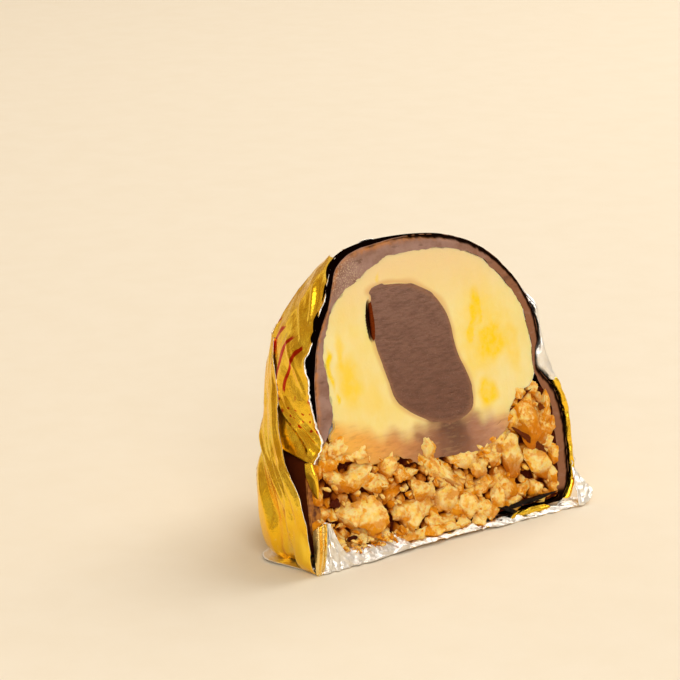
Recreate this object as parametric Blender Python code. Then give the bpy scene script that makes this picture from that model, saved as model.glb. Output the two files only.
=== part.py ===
"""Half of a foil-wrapped filled praline, standing on its base with the cut face to -Y.

The pieces are shaped upright, with the cut in the plane y = 0 and the praline's axis on Z. Each
level is then slid back with its height, because the half leans away from its cut face on a flat base.
Metres, +Z up. The origin lies on the floor, straight under the top of the dome.
"""
import math
import random

import bmesh
import bpy
from mathutils import Matrix, Vector

MM = 0.001

# The whole praline
APEX = 31.0 * MM
BASE_RADIUS = 16.6 * MM
WAIST_RADIUS = 14.0 * MM
LEAN = math.radians(10.0)
GAP = 0.3 * MM

# Chocolate shell
SHELL_BOTTOM = 0.8 * MM
SHELL_FLOOR = 0.7 * MM
SHELL_WALL = 1.35 * MM
BASE_CORNER = 2.2 * MM
INNER_CORNER = 1.2 * MM
SHOULDER_LOW = 8.5 * MM
SHOULDER_HIGH = 15.5 * MM
DOME_FOOT = 18.0 * MM
DOME_RADIUS = 14.1 * MM
DOME_CURVE = (1.26, 0.30)
SHELL_SHIFT = 1.9 * MM
SHIFT_FROM = 20.0 * MM
SHALLOW_FROM = 21.0 * MM
SHALLOW_SHARE = 0.38

# Cream filling
CREAM_RADIUS = 12.7 * MM
CREAM_FOOT = 17.0 * MM
CREAM_TOP = 29.3 * MM
CREAM_RIM = 13.9 * MM
CREAM_BOTTOM = 10.3 * MM
CREAM_CURVE = (2.3, 0.435)
BOWL_POWER = 2.2
CREAM_SHIFT = 0.6 * MM

# Ganache core
CORE_RADIUS = 4.75 * MM
CORE_HALF_HEIGHT = 7.85 * MM
CORE_MIDDLE = 18.7 * MM
CORE_OFFSET = -1.2 * MM
CORE_SLOPE = 0.27
CORE_TWIST = 0.0014 / MM ** 2
CORE_POWER = 3.0
POCKET_SIZE = (0.5 * MM, 0.9 * MM, 1.9 * MM)
POCKET_PLACE = (-7.1 * MM, 0.0, 23.0 * MM)

# Chopped nuts
NUT_SEED = 11
NUT_RECESS = 0.9 * MM
NUT_PROUD = 0.55 * MM
NUT_PITCH = 2.5 * MM
NUT_LARGE = 1.95 * MM
NUT_SMALL = 1.3 * MM
NUT_LARGE_SHARE = 0.55
NUT_POINTS = 13
NUT_LOWEST = 2.4 * MM
NUT_HIGHEST = 15.4 * MM
NUT_SCATTER = 0.5 * MM

# Foil wrapper
FOIL_SEED = 5
FOIL_THICKNESS = 0.3 * MM
FOIL_STANDOFF = 0.75 * MM
FOIL_FLOOR_RADIUS = 13.2 * MM
FOIL_CORNER = 3.4 * MM
FOIL_CREASE = 0.6 * MM
FOIL_SHOULDER = (8.8 * MM, 17.6 * MM)
FLAP_TOP = 25.0 * MM
FLAP_STANDOFF = 1.0 * MM
FLAP_FRONT = (184.0, 148.0)
FLAP_BACK = 124.0
PLEATS = 4
PLEAT_DEPTH = 0.45 * MM
LIP_DEPTH = 0.9 * MM
LIP_FOOT = 0.34 * MM
LIP_CRUMPLE = 0.6 * MM
TEAR_SLANT = 0.025

# The torn edges, as outlines in Y and Z, in millimetres
TORN_TOP = (
    (-6.0, 17.8), (0.1, 17.8), (0.5, 20.0), (0.7, 22.4), (0.85, 25.0), (1.2, 27.2),
    (2.4, 28.8), (5.4, 29.8), (10.0, 30.6), (13.0, 36.0), (-6.0, 36.0),
)
TORN_CORNER = ((-6.0, 0.6), (2.6, 0.6), (4.3, 4.0), (5.4, 9.0), (4.6, 11.4), (0.9, 10.9), (-6.0, 10.6))

# The loose points of foil, in millimetres
EAR_FOLD = ((14.0, -0.9, 0.6), (16.9, -0.8, 1.1), (17.9, -0.4, 2.4), (17.6, 0.3, 5.4))
EAR_TIP = ((16.5, -1.2, 0.6), (18.7, -0.9, 0.8), (19.3, -0.4, 1.3), (18.3, 0.4, 3.4))
SCRAP_BACK = ((-17.0, 0.5, 12.2), (-17.5, 0.3, 9.9), (-17.5, 0.2, 8.1))
SCRAP_FRONT = ((-16.4, -0.7, 12.0), (-16.9, -0.9, 9.9), (-17.2, -0.5, 8.0))
TAB_CORNERS = (
    (-18.8, 5.1), (-18.0, 6.9), (-16.4, 8.1), (-12.6, 7.0), (-12.6, 1.0), (-16.6, 0.2), (-17.7, 2.6),
)


def smooth(value):
    """An S-shaped step from 0 to 1."""
    t = min(max(value, 0.0), 1.0)
    return t * t * (3.0 - 2.0 * t)


def blend(start, end, share):
    return start + (end - start) * share


def dome(radius, foot, top, curve, steps):
    """The turned profile of a dome, from its foot up to its top on the axis."""
    power, fullness = curve
    points = []
    for step in range(steps):
        height = math.sin(0.5 * math.pi * step / steps)
        points.append((radius * (1.0 - height ** power) ** fullness, blend(foot, top, height)))
    points.append((0.0, top))
    return points


def base_wall(offset, bottom, corner, steps, shoulder=(SHOULDER_LOW, SHOULDER_HIGH)):
    """The wall under the dome: a rounded foot, the wide base and the shoulder up to the waist."""
    low, high = shoulder
    points = []
    radius = BASE_RADIUS + offset
    for step in range(4):
        angle = 0.5 * math.pi * step / 3
        across = radius - corner * (1.0 - math.sin(angle))
        points.append((across, bottom + corner * (1.0 - math.cos(angle))))
    start = bottom + corner
    for step in range(1, steps + 1):
        height = blend(start, high, step / steps)
        narrowing = smooth((height - low) / (high - low))
        points.append((blend(radius, WAIST_RADIUS + offset, narrowing), height))
    return points


def shell_shift(height):
    """How far the top of the dome sits to the left of its foot."""
    return -SHELL_SHIFT * smooth((height - SHIFT_FROM) / (APEX - SHIFT_FROM))


def cream_shift(height):
    return shell_shift(height) * CREAM_SHIFT / SHELL_SHIFT


def depth_share(height):
    """The dome falls away behind the cut faster than it does to the sides."""
    return 1.0 - SHALLOW_SHARE * smooth((height - SHALLOW_FROM) / (APEX - SHALLOW_FROM))


def material(name, colour, roughness, metallic=0.0):
    made = bpy.data.materials.new(name)
    made.use_nodes = True
    shader = made.node_tree.nodes["Principled BSDF"]
    shader.inputs["Base Color"].default_value = (*colour, 1.0)
    shader.inputs["Roughness"].default_value = roughness
    shader.inputs["Metallic"].default_value = metallic
    return made


def make_object(name, mesh_builder, finish=None):
    """A new object from a bmesh, which is freed."""
    mesh = bpy.data.meshes.new(name)
    mesh_builder.to_mesh(mesh)
    mesh_builder.free()
    made = bpy.data.objects.new(name, mesh)
    bpy.context.scene.collection.objects.link(made)
    if finish is not None:
        mesh.materials.append(finish)
    return made


def remove_object(made):
    mesh = made.data
    bpy.data.objects.remove(made)
    bpy.data.meshes.remove(mesh)


def apply_modifiers(made):
    depsgraph = bpy.context.evaluated_depsgraph_get()
    finished = bpy.data.meshes.new_from_object(made.evaluated_get(depsgraph))
    old = made.data
    made.modifiers.clear()
    made.data = finished
    bpy.data.meshes.remove(old)
    finished.name = made.name


def combine(made, tools, operation):
    """One Boolean with all the tools, applied, after which the tools are removed."""
    group = bpy.data.collections.new(made.name + "_tools")
    for tool in tools:
        group.objects.link(tool)
    boolean = made.modifiers.new(operation.lower(), "BOOLEAN")
    boolean.operation = operation
    boolean.operand_type = "COLLECTION"
    boolean.collection = group
    apply_modifiers(made)
    for tool in tools:
        remove_object(tool)
    bpy.data.collections.remove(group)


def keep_main_body(made):
    """Fill the hollows that a union sealed and drop its loose scraps: only the largest skin stays."""
    mesh = bmesh.new()
    mesh.from_mesh(made.data)
    waiting = set(mesh.verts)
    skins = []
    while waiting:
        skin = {waiting.pop()}
        edge_of_skin = list(skin)
        while edge_of_skin:
            vert = edge_of_skin.pop()
            found = {edge.other_vert(vert) for edge in vert.link_edges} - skin
            skin |= found
            edge_of_skin += found
        waiting -= skin
        skins.append(skin)
    skins.sort(key=len)
    spare = [vert for skin in skins[:-1] for vert in skin]
    bmesh.ops.delete(mesh, geom=spare, context="VERTS")
    mesh.to_mesh(made.data)
    mesh.free()


def turn(outlines, segments, sweep=math.pi):
    """Spin open outlines about Z from +X through +Y, set each sideways by its rule, close the ends."""
    made = bmesh.new()
    for outline, shift in outlines:
        finished = set(made.verts)
        points = [made.verts.new((radius, 0.0, height)) for radius, height in outline]
        edges = [made.edges.new(pair) for pair in zip(points, points[1:])]
        bmesh.ops.spin(made, geom=points + edges, cent=(0, 0, 0), axis=(0, 0, 1),
                       angle=sweep, steps=segments, use_merge=sweep > math.pi)
        for vert in set(made.verts) - finished:
            vert.co.x += shift(vert.co.z)
            vert.co.y *= depth_share(vert.co.z)
    bmesh.ops.remove_doubles(made, verts=made.verts[:], dist=0.002 * MM)
    rim = [edge for edge in made.edges if edge.is_boundary]
    if rim:
        bmesh.ops.triangle_fill(made, use_beauty=True, edges=rim)
    bmesh.ops.recalc_face_normals(made, faces=made.faces[:])
    return made


def shell_outline():
    """The outside of the chocolate, from the middle of its underside to the top of the dome."""
    wall = base_wall(0.0, SHELL_BOTTOM, BASE_CORNER, 7)
    return [(0.0, SHELL_BOTTOM)] + wall + dome(DOME_RADIUS, DOME_FOOT, APEX, DOME_CURVE, 13)


def inner_outline():
    """The inside of the shell: round the cream above the rim and round the nuts below it."""
    wall = BASE_RADIUS - SHELL_WALL
    floor = SHELL_BOTTOM + SHELL_FLOOR
    rim = CREAM_RADIUS + GAP
    points = [(0.0, floor), (wall - INNER_CORNER, floor), (wall, floor + INNER_CORNER)]
    points += [(wall, SHOULDER_LOW), (wall - 0.5 * MM, 11.2 * MM), (rim + 0.6 * MM, CREAM_RIM)]
    return points + dome(rim, CREAM_FOOT, CREAM_TOP + GAP, CREAM_CURVE, 12)


def build_shell(finish):
    made = turn([(shell_outline(), shell_shift), (inner_outline(), cream_shift)], 30)
    return make_object("chocolate_shell", made, finish)


def bowl(share):
    """The height of the cream's underside at a share of its radius."""
    return CREAM_BOTTOM + (CREAM_RIM - CREAM_BOTTOM) * share ** BOWL_POWER


def cream_outline(grow):
    """The cream: a bowl-shaped underside up to the rim, then a dome."""
    points = []
    for step in range(8):
        share = step / 8
        points.append(((CREAM_RADIUS + grow) * share, bowl(share) - grow))
    points.append((CREAM_RADIUS + grow, CREAM_RIM - 0.4 * grow))
    return points + dome(CREAM_RADIUS + grow, CREAM_FOOT, CREAM_TOP + grow, CREAM_CURVE, 12)


def core_outline(grow):
    """A rounded block, fuller than an egg, from its lowest point to its highest."""
    half = CORE_HALF_HEIGHT + grow
    points = []
    for step in range(17):
        angle = math.pi * (step / 16 - 0.5)
        across = abs(math.cos(angle)) ** (2.0 / CORE_POWER) * (CORE_RADIUS + grow)
        up = math.copysign(abs(math.sin(angle)) ** (2.0 / CORE_POWER), math.sin(angle)) * half
        points.append((across, CORE_MIDDLE + up))
    return points


def core_shift(height):
    rise = height - CORE_MIDDLE
    return CORE_OFFSET - CORE_SLOPE * rise - CORE_TWIST * rise ** 3


def build_core(finish):
    made = turn([(core_outline(0.0), core_shift)], 14)
    return make_object("ganache_core", made, finish)


def build_cream(finish):
    cream = make_object("yellow_cream", turn([(cream_outline(0.0), cream_shift)], 30), finish)
    cavity = make_object("core_room", turn([(core_outline(GAP), core_shift)], 24, 2.0 * math.pi))
    pocket_mesh = bmesh.new()
    bmesh.ops.create_icosphere(pocket_mesh, subdivisions=2, radius=1.0)
    bmesh.ops.scale(pocket_mesh, vec=POCKET_SIZE, verts=pocket_mesh.verts)
    bmesh.ops.translate(pocket_mesh, vec=POCKET_PLACE, verts=pocket_mesh.verts)
    pocket = make_object("pocket_room", pocket_mesh)
    combine(cream, [cavity, pocket], "DIFFERENCE")
    return cream


def nut_chunk(place, size, draw):
    """One chopped piece: the hull of a few points round an uneven ball."""
    made = bmesh.new()
    stretch = [draw.uniform(0.72, 1.25) for _ in range(3)]
    for _ in range(NUT_POINTS):
        way = Vector([draw.gauss(0.0, 1.0) for _ in range(3)]).normalized()
        made.verts.new([size * draw.uniform(0.82, 1.1) * a * b for a, b in zip(way, stretch)])
    hull = bmesh.ops.convex_hull(made, input=made.verts[:])
    bmesh.ops.delete(made, geom=hull["geom_interior"], context="VERTS")
    turned = Matrix.Rotation(draw.uniform(0.0, math.pi), 3, draw.choice("XYZ"))
    bmesh.ops.rotate(made, matrix=turned, verts=made.verts[:])
    bmesh.ops.translate(made, vec=place, verts=made.verts[:])
    bmesh.ops.recalc_face_normals(made, faces=made.faces[:])
    return make_object("nut", made)


def nut_room():
    """The space under the cream that the nuts may fill, standing a little proud of the cut."""
    wall = BASE_RADIUS - SHELL_WALL - GAP
    floor = SHELL_BOTTOM + SHELL_FLOOR + GAP
    under = [(radius, height) for radius, height in cream_outline(GAP) if height <= CREAM_RIM]
    outline = [(0.0, floor), (wall - INNER_CORNER, floor), (wall, floor + INNER_CORNER)]
    outline += [(wall, SHOULDER_LOW - 0.2 * MM), (wall - 0.5 * MM, 10.9 * MM)]
    outline += [(CREAM_RADIUS + 0.55 * MM, 13.2 * MM)] + under[:8][::-1]
    made = turn([(outline, lambda height: 0.0)], 30)
    front = [face for face in made.faces if abs(face.normal.y) > 0.99 and face.calc_center_median().y < MM]
    moved = bmesh.ops.extrude_face_region(made, geom=front)
    verts = [item for item in moved["geom"] if isinstance(item, bmesh.types.BMVert)]
    bmesh.ops.translate(made, vec=(0.0, -NUT_PROUD, 0.0), verts=verts)
    bmesh.ops.delete(made, geom=front, context="FACES_ONLY")
    bmesh.ops.recalc_face_normals(made, faces=made.faces[:])
    return outline, make_object("nut_room", made)


def build_nuts(finish):
    draw = random.Random(NUT_SEED)
    outline, room = nut_room()
    core_mesh = turn([(outline, lambda height: 0.0)], 24)
    bmesh.ops.bisect_plane(core_mesh, geom=core_mesh.verts[:] + core_mesh.edges[:] + core_mesh.faces[:],
                           plane_co=(0.0, NUT_RECESS, 0.0), plane_no=(0.0, 1.0, 0.0), clear_inner=True)
    rim = [edge for edge in core_mesh.edges if edge.is_boundary]
    bmesh.ops.triangle_fill(core_mesh, use_beauty=True, edges=rim)
    bmesh.ops.recalc_face_normals(core_mesh, faces=core_mesh.faces[:])
    nuts = make_object("nut_base", core_mesh, finish)
    chunks = []
    rows = int((NUT_HIGHEST - NUT_LOWEST) / NUT_PITCH)
    columns = int(BASE_RADIUS / NUT_PITCH)
    for row in range(rows + 1):
        for column in range(-columns, columns + 1):
            across = (column + 0.5 * (row % 2)) * NUT_PITCH + draw.uniform(-1.0, 1.0) * NUT_SCATTER
            height = NUT_LOWEST + row * 0.92 * NUT_PITCH + draw.uniform(-1.0, 1.0) * NUT_SCATTER
            if abs(across) > BASE_RADIUS - SHELL_WALL or height > bowl(abs(across) / CREAM_RADIUS):
                continue
            size = NUT_LARGE if draw.random() < NUT_LARGE_SHARE else NUT_SMALL
            depth = size + draw.uniform(-1.1, 0.7) * NUT_SCATTER
            chunks.append(nut_chunk((across, depth, height), size * draw.uniform(0.9, 1.12), draw))
    combine(nuts, chunks, "UNION")
    combine(nuts, [room], "INTERSECT")
    keep_main_body(nuts)
    return nuts


def foil_outline():
    """The outside of the wrapper, from the middle of its flat underside to the top."""
    offset = FOIL_STANDOFF
    wall = base_wall(offset, 0.0, FOIL_CORNER, 6, FOIL_SHOULDER)
    top = dome(DOME_RADIUS + offset, DOME_FOOT, APEX + offset, DOME_CURVE, 9)
    return [(0.0, 0.0), (FOIL_FLOOR_RADIUS * 0.5, 0.0)] + wall[:-1] + top


def hug(angle, height):
    """How much nearer the chocolate's waist the foil lies at the left than it does elsewhere."""
    at_left = smooth((math.degrees(angle) - 148.0) / 22.0)
    low, high = FOIL_SHOULDER
    bridged = smooth((height - low) / (high - low))
    close = smooth((height - SHOULDER_LOW) / (SHOULDER_HIGH - SHOULDER_LOW))
    return (BASE_RADIUS - WAIST_RADIUS) * (close - bridged) * at_left


def foil_radius(angle, height):
    """The wrapper's outer radius, read off its outline and drawn in at the left."""
    outline = foil_outline()[2:]
    for (radius, low), (next_radius, high) in zip(outline, outline[1:]):
        if low <= height <= high:
            return blend(radius, next_radius, (height - low) / (high - low)) - hug(angle, height)
    return outline[0][0]


def round_foil(angle, height, offset):
    """A point that stands off the wrapper by the offset, at an angle from +X towards +Y."""
    radius = foil_radius(angle, height) + offset
    x = radius * math.cos(angle) + shell_shift(height)
    return Vector((x, radius * math.sin(angle) * depth_share(height), height))


def in_metres(points):
    return [Vector(point) * MM for point in points]


def block(name, corners, path):
    """A flat outline pushed along a straight path."""
    made = bmesh.new()
    face = made.faces.new([made.verts.new(corner) for corner in corners])
    pushed = bmesh.ops.extrude_face_region(made, geom=[face])
    verts = [item for item in pushed["geom"] if isinstance(item, bmesh.types.BMVert)]
    bmesh.ops.translate(made, vec=path, verts=verts)
    bmesh.ops.recalc_face_normals(made, faces=made.faces[:])
    return make_object(name, made)


def sheet(rows, name):
    """A foil sheet through rows of points, which must all hold the same number."""
    made = bmesh.new()
    lines = []
    for row in rows:
        points = [made.verts.new(point) for point in row]
        lines.append([made.edges.new(pair) for pair in zip(points, points[1:])])
    for line, next_line in zip(lines, lines[1:]):
        bmesh.ops.bridge_loops(made, edges=line + next_line)
    bmesh.ops.recalc_face_normals(made, faces=made.faces[:])
    bmesh.ops.triangulate(made, faces=made.faces[:])
    bmesh.ops.solidify(made, geom=made.faces[:], thickness=FOIL_THICKNESS)
    bmesh.ops.recalc_face_normals(made, faces=made.faces[:])
    return make_object(name, made)


def side_flap():
    """The outer layer on the left: its free edge runs from the shoulder down to the front corner."""
    rows = []
    for column in range(5):
        share = column / 4
        row = []
        for level in range(8):
            low = blend(0.5 * MM, 3.6 * MM, share)
            height = blend(low, FLAP_TOP, level / 7)
            front = blend(*FLAP_FRONT, (height / FLAP_TOP) ** 1.3)
            angle = math.radians(blend(front, FLAP_BACK, share))
            swell = math.sin(math.pi * min(height / FLAP_TOP, 1.0)) ** 0.7
            loose = FLAP_STANDOFF * (0.35 + 0.65 * swell) * (1.0 - share ** 2)
            row.append(round_foil(angle, height, loose - 0.5 * FOIL_THICKNESS * share))
        rows.append(row)
    return sheet(rows, "side_flap")


def corner_pleats():
    """The pleated bunch at the foot of the left edge, standing just in front of the nuts."""
    rows = []
    for level in range(4):
        share = level / 3
        row = []
        for fold in range(2 * PLEATS + 1):
            across = fold / (2 * PLEATS)
            x = blend(-17.6, blend(-12.2, -15.5, share), across) * MM
            forward = PLEAT_DEPTH * (fold % 2) * (1.0 - 0.5 * share)
            height = blend(0.25, blend(5.6, 4.2, across), share) * MM
            row.append((x, -0.75 * MM - forward, height))
        rows.append(row)
    return sheet(rows, "corner_pleats")


def front_lip():
    """The torn edge of the foil along the foot of the cut face, crumpled up and down."""
    rows = []
    count = 22
    for column in range(count + 1):
        x = blend(-17.2, 17.6, column / count) * MM
        crumple = (0.5 + 0.5 * math.sin(2.3 * column) * math.cos(0.7 * column)) * LIP_CRUMPLE
        rows.append([
            (x * 0.9, 2.6 * MM, LIP_FOOT),
            (x, -0.2 * MM, LIP_FOOT + 0.2 * crumple),
            (x, -LIP_DEPTH, LIP_FOOT + crumple),
        ])
    return sheet(rows, "front_lip")


def right_ear():
    """The pointed fold at the foot of the right edge."""
    rest = [round_foil(math.radians(3.0), height * MM, -0.12 * MM) for height in (0.5, 1.4, 2.8, 5.8)]
    return sheet([rest, in_metres(EAR_FOLD), in_metres(EAR_TIP)], "right_ear")


def torn_scrap():
    """The little folded point that hangs below the left edge."""
    return sheet([in_metres(SCRAP_BACK), in_metres(SCRAP_FRONT)], "torn_scrap")


def floor_tab():
    """The flat tongue of foil that lies on the floor at the left."""
    return block("floor_tab", [(x * MM, y * MM, 0.0) for x, y in TAB_CORNERS], (0.0, 0.0, FOIL_THICKNESS))


def foil_cutter(name, outline, low_x, high_x):
    """A cutter with an outline in Y and Z, run along X."""
    corners = [(low_x * MM, y * MM, z * MM) for y, z in outline]
    return block(name, corners, ((high_x - low_x) * MM, 0.0, 0.0))


def build_foil(finish):
    draw = random.Random(FOIL_SEED)
    made = bmesh.new()
    outline = foil_outline()
    points = [made.verts.new((radius, 0.0, height)) for radius, height in outline]
    edges = [made.edges.new(pair) for pair in zip(points, points[1:])]
    bmesh.ops.spin(made, geom=points + edges, cent=(0, 0, 0), axis=(0, 0, 1), angle=math.pi, steps=22)
    bmesh.ops.remove_doubles(made, verts=made.verts[:], dist=0.002 * MM)
    bmesh.ops.recalc_face_normals(made, faces=made.faces[:])
    for vert in made.verts:
        outwards = Vector((vert.co.x, vert.co.y, 0.0))
        if vert.co.z > 0.5 * MM and outwards.length > MM:
            drawn_in = hug(math.atan2(outwards.y, outwards.x), vert.co.z)
            vert.co += outwards.normalized() * (draw.random() * FOIL_CREASE - drawn_in)
        vert.co.x += shell_shift(vert.co.z)
        vert.co.y *= depth_share(vert.co.z)
    bmesh.ops.triangulate(made, faces=made.faces[:])
    foil = make_object("foil_wrapper", made, finish)
    wall = foil.modifiers.new("wall", "SOLIDIFY")
    wall.thickness = FOIL_THICKNESS
    wall.offset = -1.0
    wall.use_even_offset = True
    apply_modifiers(foil)
    tear = foil_cutter("tear", TORN_TOP, -25.0, 25.0)
    for vert in tear.data.vertices:
        vert.co.y += TEAR_SLANT * vert.co.x
    combine(foil, [tear, foil_cutter("corner", TORN_CORNER, -25.0, -12.5)], "DIFFERENCE")
    tools = [side_flap(), corner_pleats(), front_lip(), right_ear(), torn_scrap(), floor_tab()]
    combine(foil, tools, "UNION")
    keep_main_body(foil)
    return foil


def slant(made):
    """Slide each level back with its height, so that the cut face leans and the base stays flat."""
    leaning = Matrix.Identity(4)
    leaning[1][2] = math.sin(LEAN)
    leaning[1][3] = -math.sin(LEAN) * APEX
    leaning[2][2] = math.cos(LEAN)
    made.data.transform(leaning)
    made.data.shade_smooth()
    made.data.set_sharp_from_angle(angle=math.radians(35.0))


for leftover in list(bpy.data.objects):
    bpy.data.objects.remove(leftover)

pieces = [
    build_shell(material("chocolate", (0.085, 0.032, 0.022), 0.4)),
    build_cream(material("cream", (0.90, 0.66, 0.20), 0.5)),
    build_core(material("ganache", (0.13, 0.062, 0.048), 0.65)),
    build_nuts(material("nuts", (0.72, 0.38, 0.10), 0.6)),
    build_foil(material("foil", (0.88, 0.62, 0.17), 0.25, 1.0)),
]
for piece in pieces:
    slant(piece)
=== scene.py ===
"""The looks of half a foil-wrapped filled praline: chocolate, cream, ganache, chopped nuts and torn foil.

Each section is one piece, in the order in which the praline is made. Shapes are drawn upright in
millimetres: X along the cut, Y back from the cut, Z up. stand_up then leans them as the half stands.
"""
import math
import random

import bmesh
import bpy
import numpy as np
from mathutils import Matrix, Vector, noise


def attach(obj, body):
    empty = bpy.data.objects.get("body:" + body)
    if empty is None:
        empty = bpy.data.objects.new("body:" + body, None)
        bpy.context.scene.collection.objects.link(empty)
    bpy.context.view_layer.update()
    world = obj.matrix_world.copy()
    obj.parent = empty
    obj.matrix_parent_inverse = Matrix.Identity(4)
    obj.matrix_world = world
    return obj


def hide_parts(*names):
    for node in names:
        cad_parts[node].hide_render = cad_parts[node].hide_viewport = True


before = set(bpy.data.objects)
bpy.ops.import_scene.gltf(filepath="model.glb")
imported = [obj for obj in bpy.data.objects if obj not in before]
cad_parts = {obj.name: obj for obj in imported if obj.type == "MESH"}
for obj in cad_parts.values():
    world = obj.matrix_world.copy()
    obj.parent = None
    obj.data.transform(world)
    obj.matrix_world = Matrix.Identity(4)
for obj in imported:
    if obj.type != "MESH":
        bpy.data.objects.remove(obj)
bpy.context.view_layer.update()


# Chocolate shell. Dark chocolate cast in a bell-shaped mould, 1 to 3 mm thick, glossy and nearly black
# outside. The knife left it matt and mauve-brown, with a warmer rim and pale fat specks at the left.
MM = 0.001
LEAN = math.radians(10.0)
APEX = 31.0
SHALLOW_FROM, SHALLOW_SHARE = 21.0, 0.38
DROOP = 0.085
WELD = 0.004
BACK_STEPS = 12
SHELL_POINTS = 190
SHELL_TURN = 44
SHELL_ROWS = 13
TOP_MIDDLE, TOP_HEIGHT = -1.9, 30.9
SHELL_RIGHT = [
    (0, 0.7), (13.6, 0.7), (15.4, 1.3), (16.3, 3.0), (16.5, 6.5), (16.35, 9.5), (15.9, 11.6), (15.1, 13.2),
    (14.1, 14.3), (13.5, 15.3), (13.55, 16.5), (14.0, 18.2), (13.8, 20.2), (13.0, 22.6), (11.6, 24.8),
    (9.6, 27.0), (7.2, 28.7), (4.8, 29.9), (1.5, 30.65), (TOP_MIDDLE, TOP_HEIGHT),
]
SHELL_LEFT = [
    (0, 0.7), (-13.6, 0.7), (-15.6, 1.5), (-16.5, 3.5), (-16.6, 8.3), (-16.2, 10.4), (-15.3, 12.2),
    (-14.7, 13.5), (-14.45, 15.0), (-14.3, 18.4), (-13.75, 21.2), (-12.85, 23.4), (-11.75, 25.4),
    (-11.1, 27.2), (-10.4, 28.9), (-9.0, 30.0), (-7.0, 30.5), (-4.4, 30.75), (TOP_MIDDLE, TOP_HEIGHT),
]
ROOF_RIGHT = [
    (13.0, 18.0), (12.5, 20.8), (11.5, 23.0), (10.0, 24.9), (8.0, 27.0), (6.0, 28.1), (3.6, 28.85),
    (0.6, 29.25), (-1.5, 29.3),
]
ROOF_LEFT = [
    (-12.5, 15.0), (-12.8, 18.4), (-12.85, 21.4), (-12.2, 23.2), (-11.5, 24.9), (-10.0, 26.3), (-8.0, 27.3),
    (-6.0, 28.5), (-4.0, 29.15), (-1.5, 29.3),
]
FILLING_RIGHT = [
    (0, 1.05), (13.4, 1.05), (14.6, 2.2), (15.0, 5.0), (15.1, 9.0), (14.7, 11.6), (13.6, 13.6), (13.0, 15.2),
    *ROOF_RIGHT,
]
FILLING_LEFT = [
    (0, 1.05), (-13.4, 1.05), (-15.0, 2.4), (-15.3, 8.0), (-14.6, 11.2), (-13.2, 13.2), *ROOF_LEFT,
]


def smooth(value):
    """An S-shaped step from 0 to 1, for numbers and arrays."""
    step = np.clip(value, 0.0, 1.0)
    return step * step * (3.0 - 2.0 * step)


def through(points, count):
    """Evenly spaced points on a smooth curve through the given ones."""
    keys = np.array(points, float)
    ends = np.vstack([2 * keys[0] - keys[1], keys, 2 * keys[-1] - keys[-2]])
    fine = []
    for before, start, end, after in zip(ends, ends[1:], ends[2:], ends[3:]):
        slope = end - before
        bend = 2 * before - 5 * start + 4 * end - after
        twist = 3 * start - before - 3 * end + after
        for t in np.linspace(0.0, 1.0, 24, endpoint=False):
            fine.append(0.5 * (2 * start + slope * t + bend * t ** 2 + twist * t ** 3))
    fine = np.array(fine + [keys[-1]])
    run = np.concatenate([[0.0], np.cumsum(np.linalg.norm(np.diff(fine, axis=0), axis=1))])
    wanted = np.linspace(0.0, run[-1], count)
    return np.stack([np.interp(wanted, run, fine[:, axis]) for axis in range(keys.shape[1])], axis=1)


def ripple(point, scale, seed):
    """Soft noise from -1 to 1 at a place, with features about as large as the scale."""
    return noise.noise(Vector(point) / scale + Vector((seed * 7.3, seed * 3.1, seed * 5.7)))


def uneven(outline, amount, scale, seed):
    """An outline that wanders from its own line, but not at its two ends."""
    along = np.gradient(outline, axis=0)
    along /= np.linalg.norm(along, axis=1)[:, None] + 1e-9
    held = np.minimum(1.0, np.minimum(np.arange(len(outline)), np.arange(len(outline))[::-1]) / 6.0)
    drift = [ripple((x, 0.0, z), scale, seed) + 0.5 * ripple((x, 0.0, z), 0.35 * scale, seed)
             for x, z in outline]
    away = np.stack([-along[:, 1], along[:, 0]], axis=1)
    return outline + away * (np.array(drift) * held * amount)[:, None]


def high_up(height):
    """0 below the dome's shoulder, 1 at its top."""
    return smooth((height - SHALLOW_FROM) / (APEX - SHALLOW_FROM))


def depth_share(height):
    """The dome falls away behind the cut faster than it does to the sides."""
    return 1.0 - SHALLOW_SHARE * high_up(height)


def droop(depth, height):
    """How far the dome sinks at a depth behind the cut."""
    return DROOP * depth * high_up(height)


def half_turn(made, right, left, steps):
    """Spin the mean of two outlines half round, then give its ends the right one and the left one."""
    place = made.verts.layers.float.get("place") or made.verts.layers.float.new("place")
    earlier = set(made.verts)
    halves, means = 0.5 * (right[:, 0] - left[:, 0]), 0.5 * (right + left)
    points = [made.verts.new((max(half, 0.0), 0.0, mean[1])) for half, mean in zip(halves, means)]
    for index, point in enumerate(points):
        point[place] = index
    edges = [made.edges.new(pair) for pair in zip(points, points[1:])]
    bmesh.ops.spin(made, geom=points + edges, cent=(0, 0, 0), axis=(0, 0, 1), angle=math.pi, steps=steps)
    for vert in set(made.verts) - earlier:
        index = round(vert[place])
        half = halves[index]
        side = vert.co.x / half if half > 1e-4 else 0.0
        height = 0.5 * ((1 + side) * right[index, 1] + (1 - side) * left[index, 1])
        depth = vert.co.y * depth_share(height)
        vert.co = (means[index, 0] + half * side, depth, height - droop(depth, height))


def ring_of(made, outline):
    """The points of a closed outline on the cut, and the edges between them."""
    ring = [made.verts.new((x, 0.0, z)) for x, z in outline]
    return ring, [made.edges.new(pair) for pair in zip(ring, ring[1:] + ring[:1])]


def drawn_out(made, edges):
    """Copies of a ring of edges, joined to it by faces."""
    drawn = bmesh.ops.extrude_edge_only(made, edges=edges)["geom"]
    verts = {item for item in drawn if isinstance(item, bmesh.types.BMVert)}
    copies = [item for item in drawn if isinstance(item, bmesh.types.BMEdge) and item.is_boundary
              and verts.issuperset(item.verts)]
    return verts, copies


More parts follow.
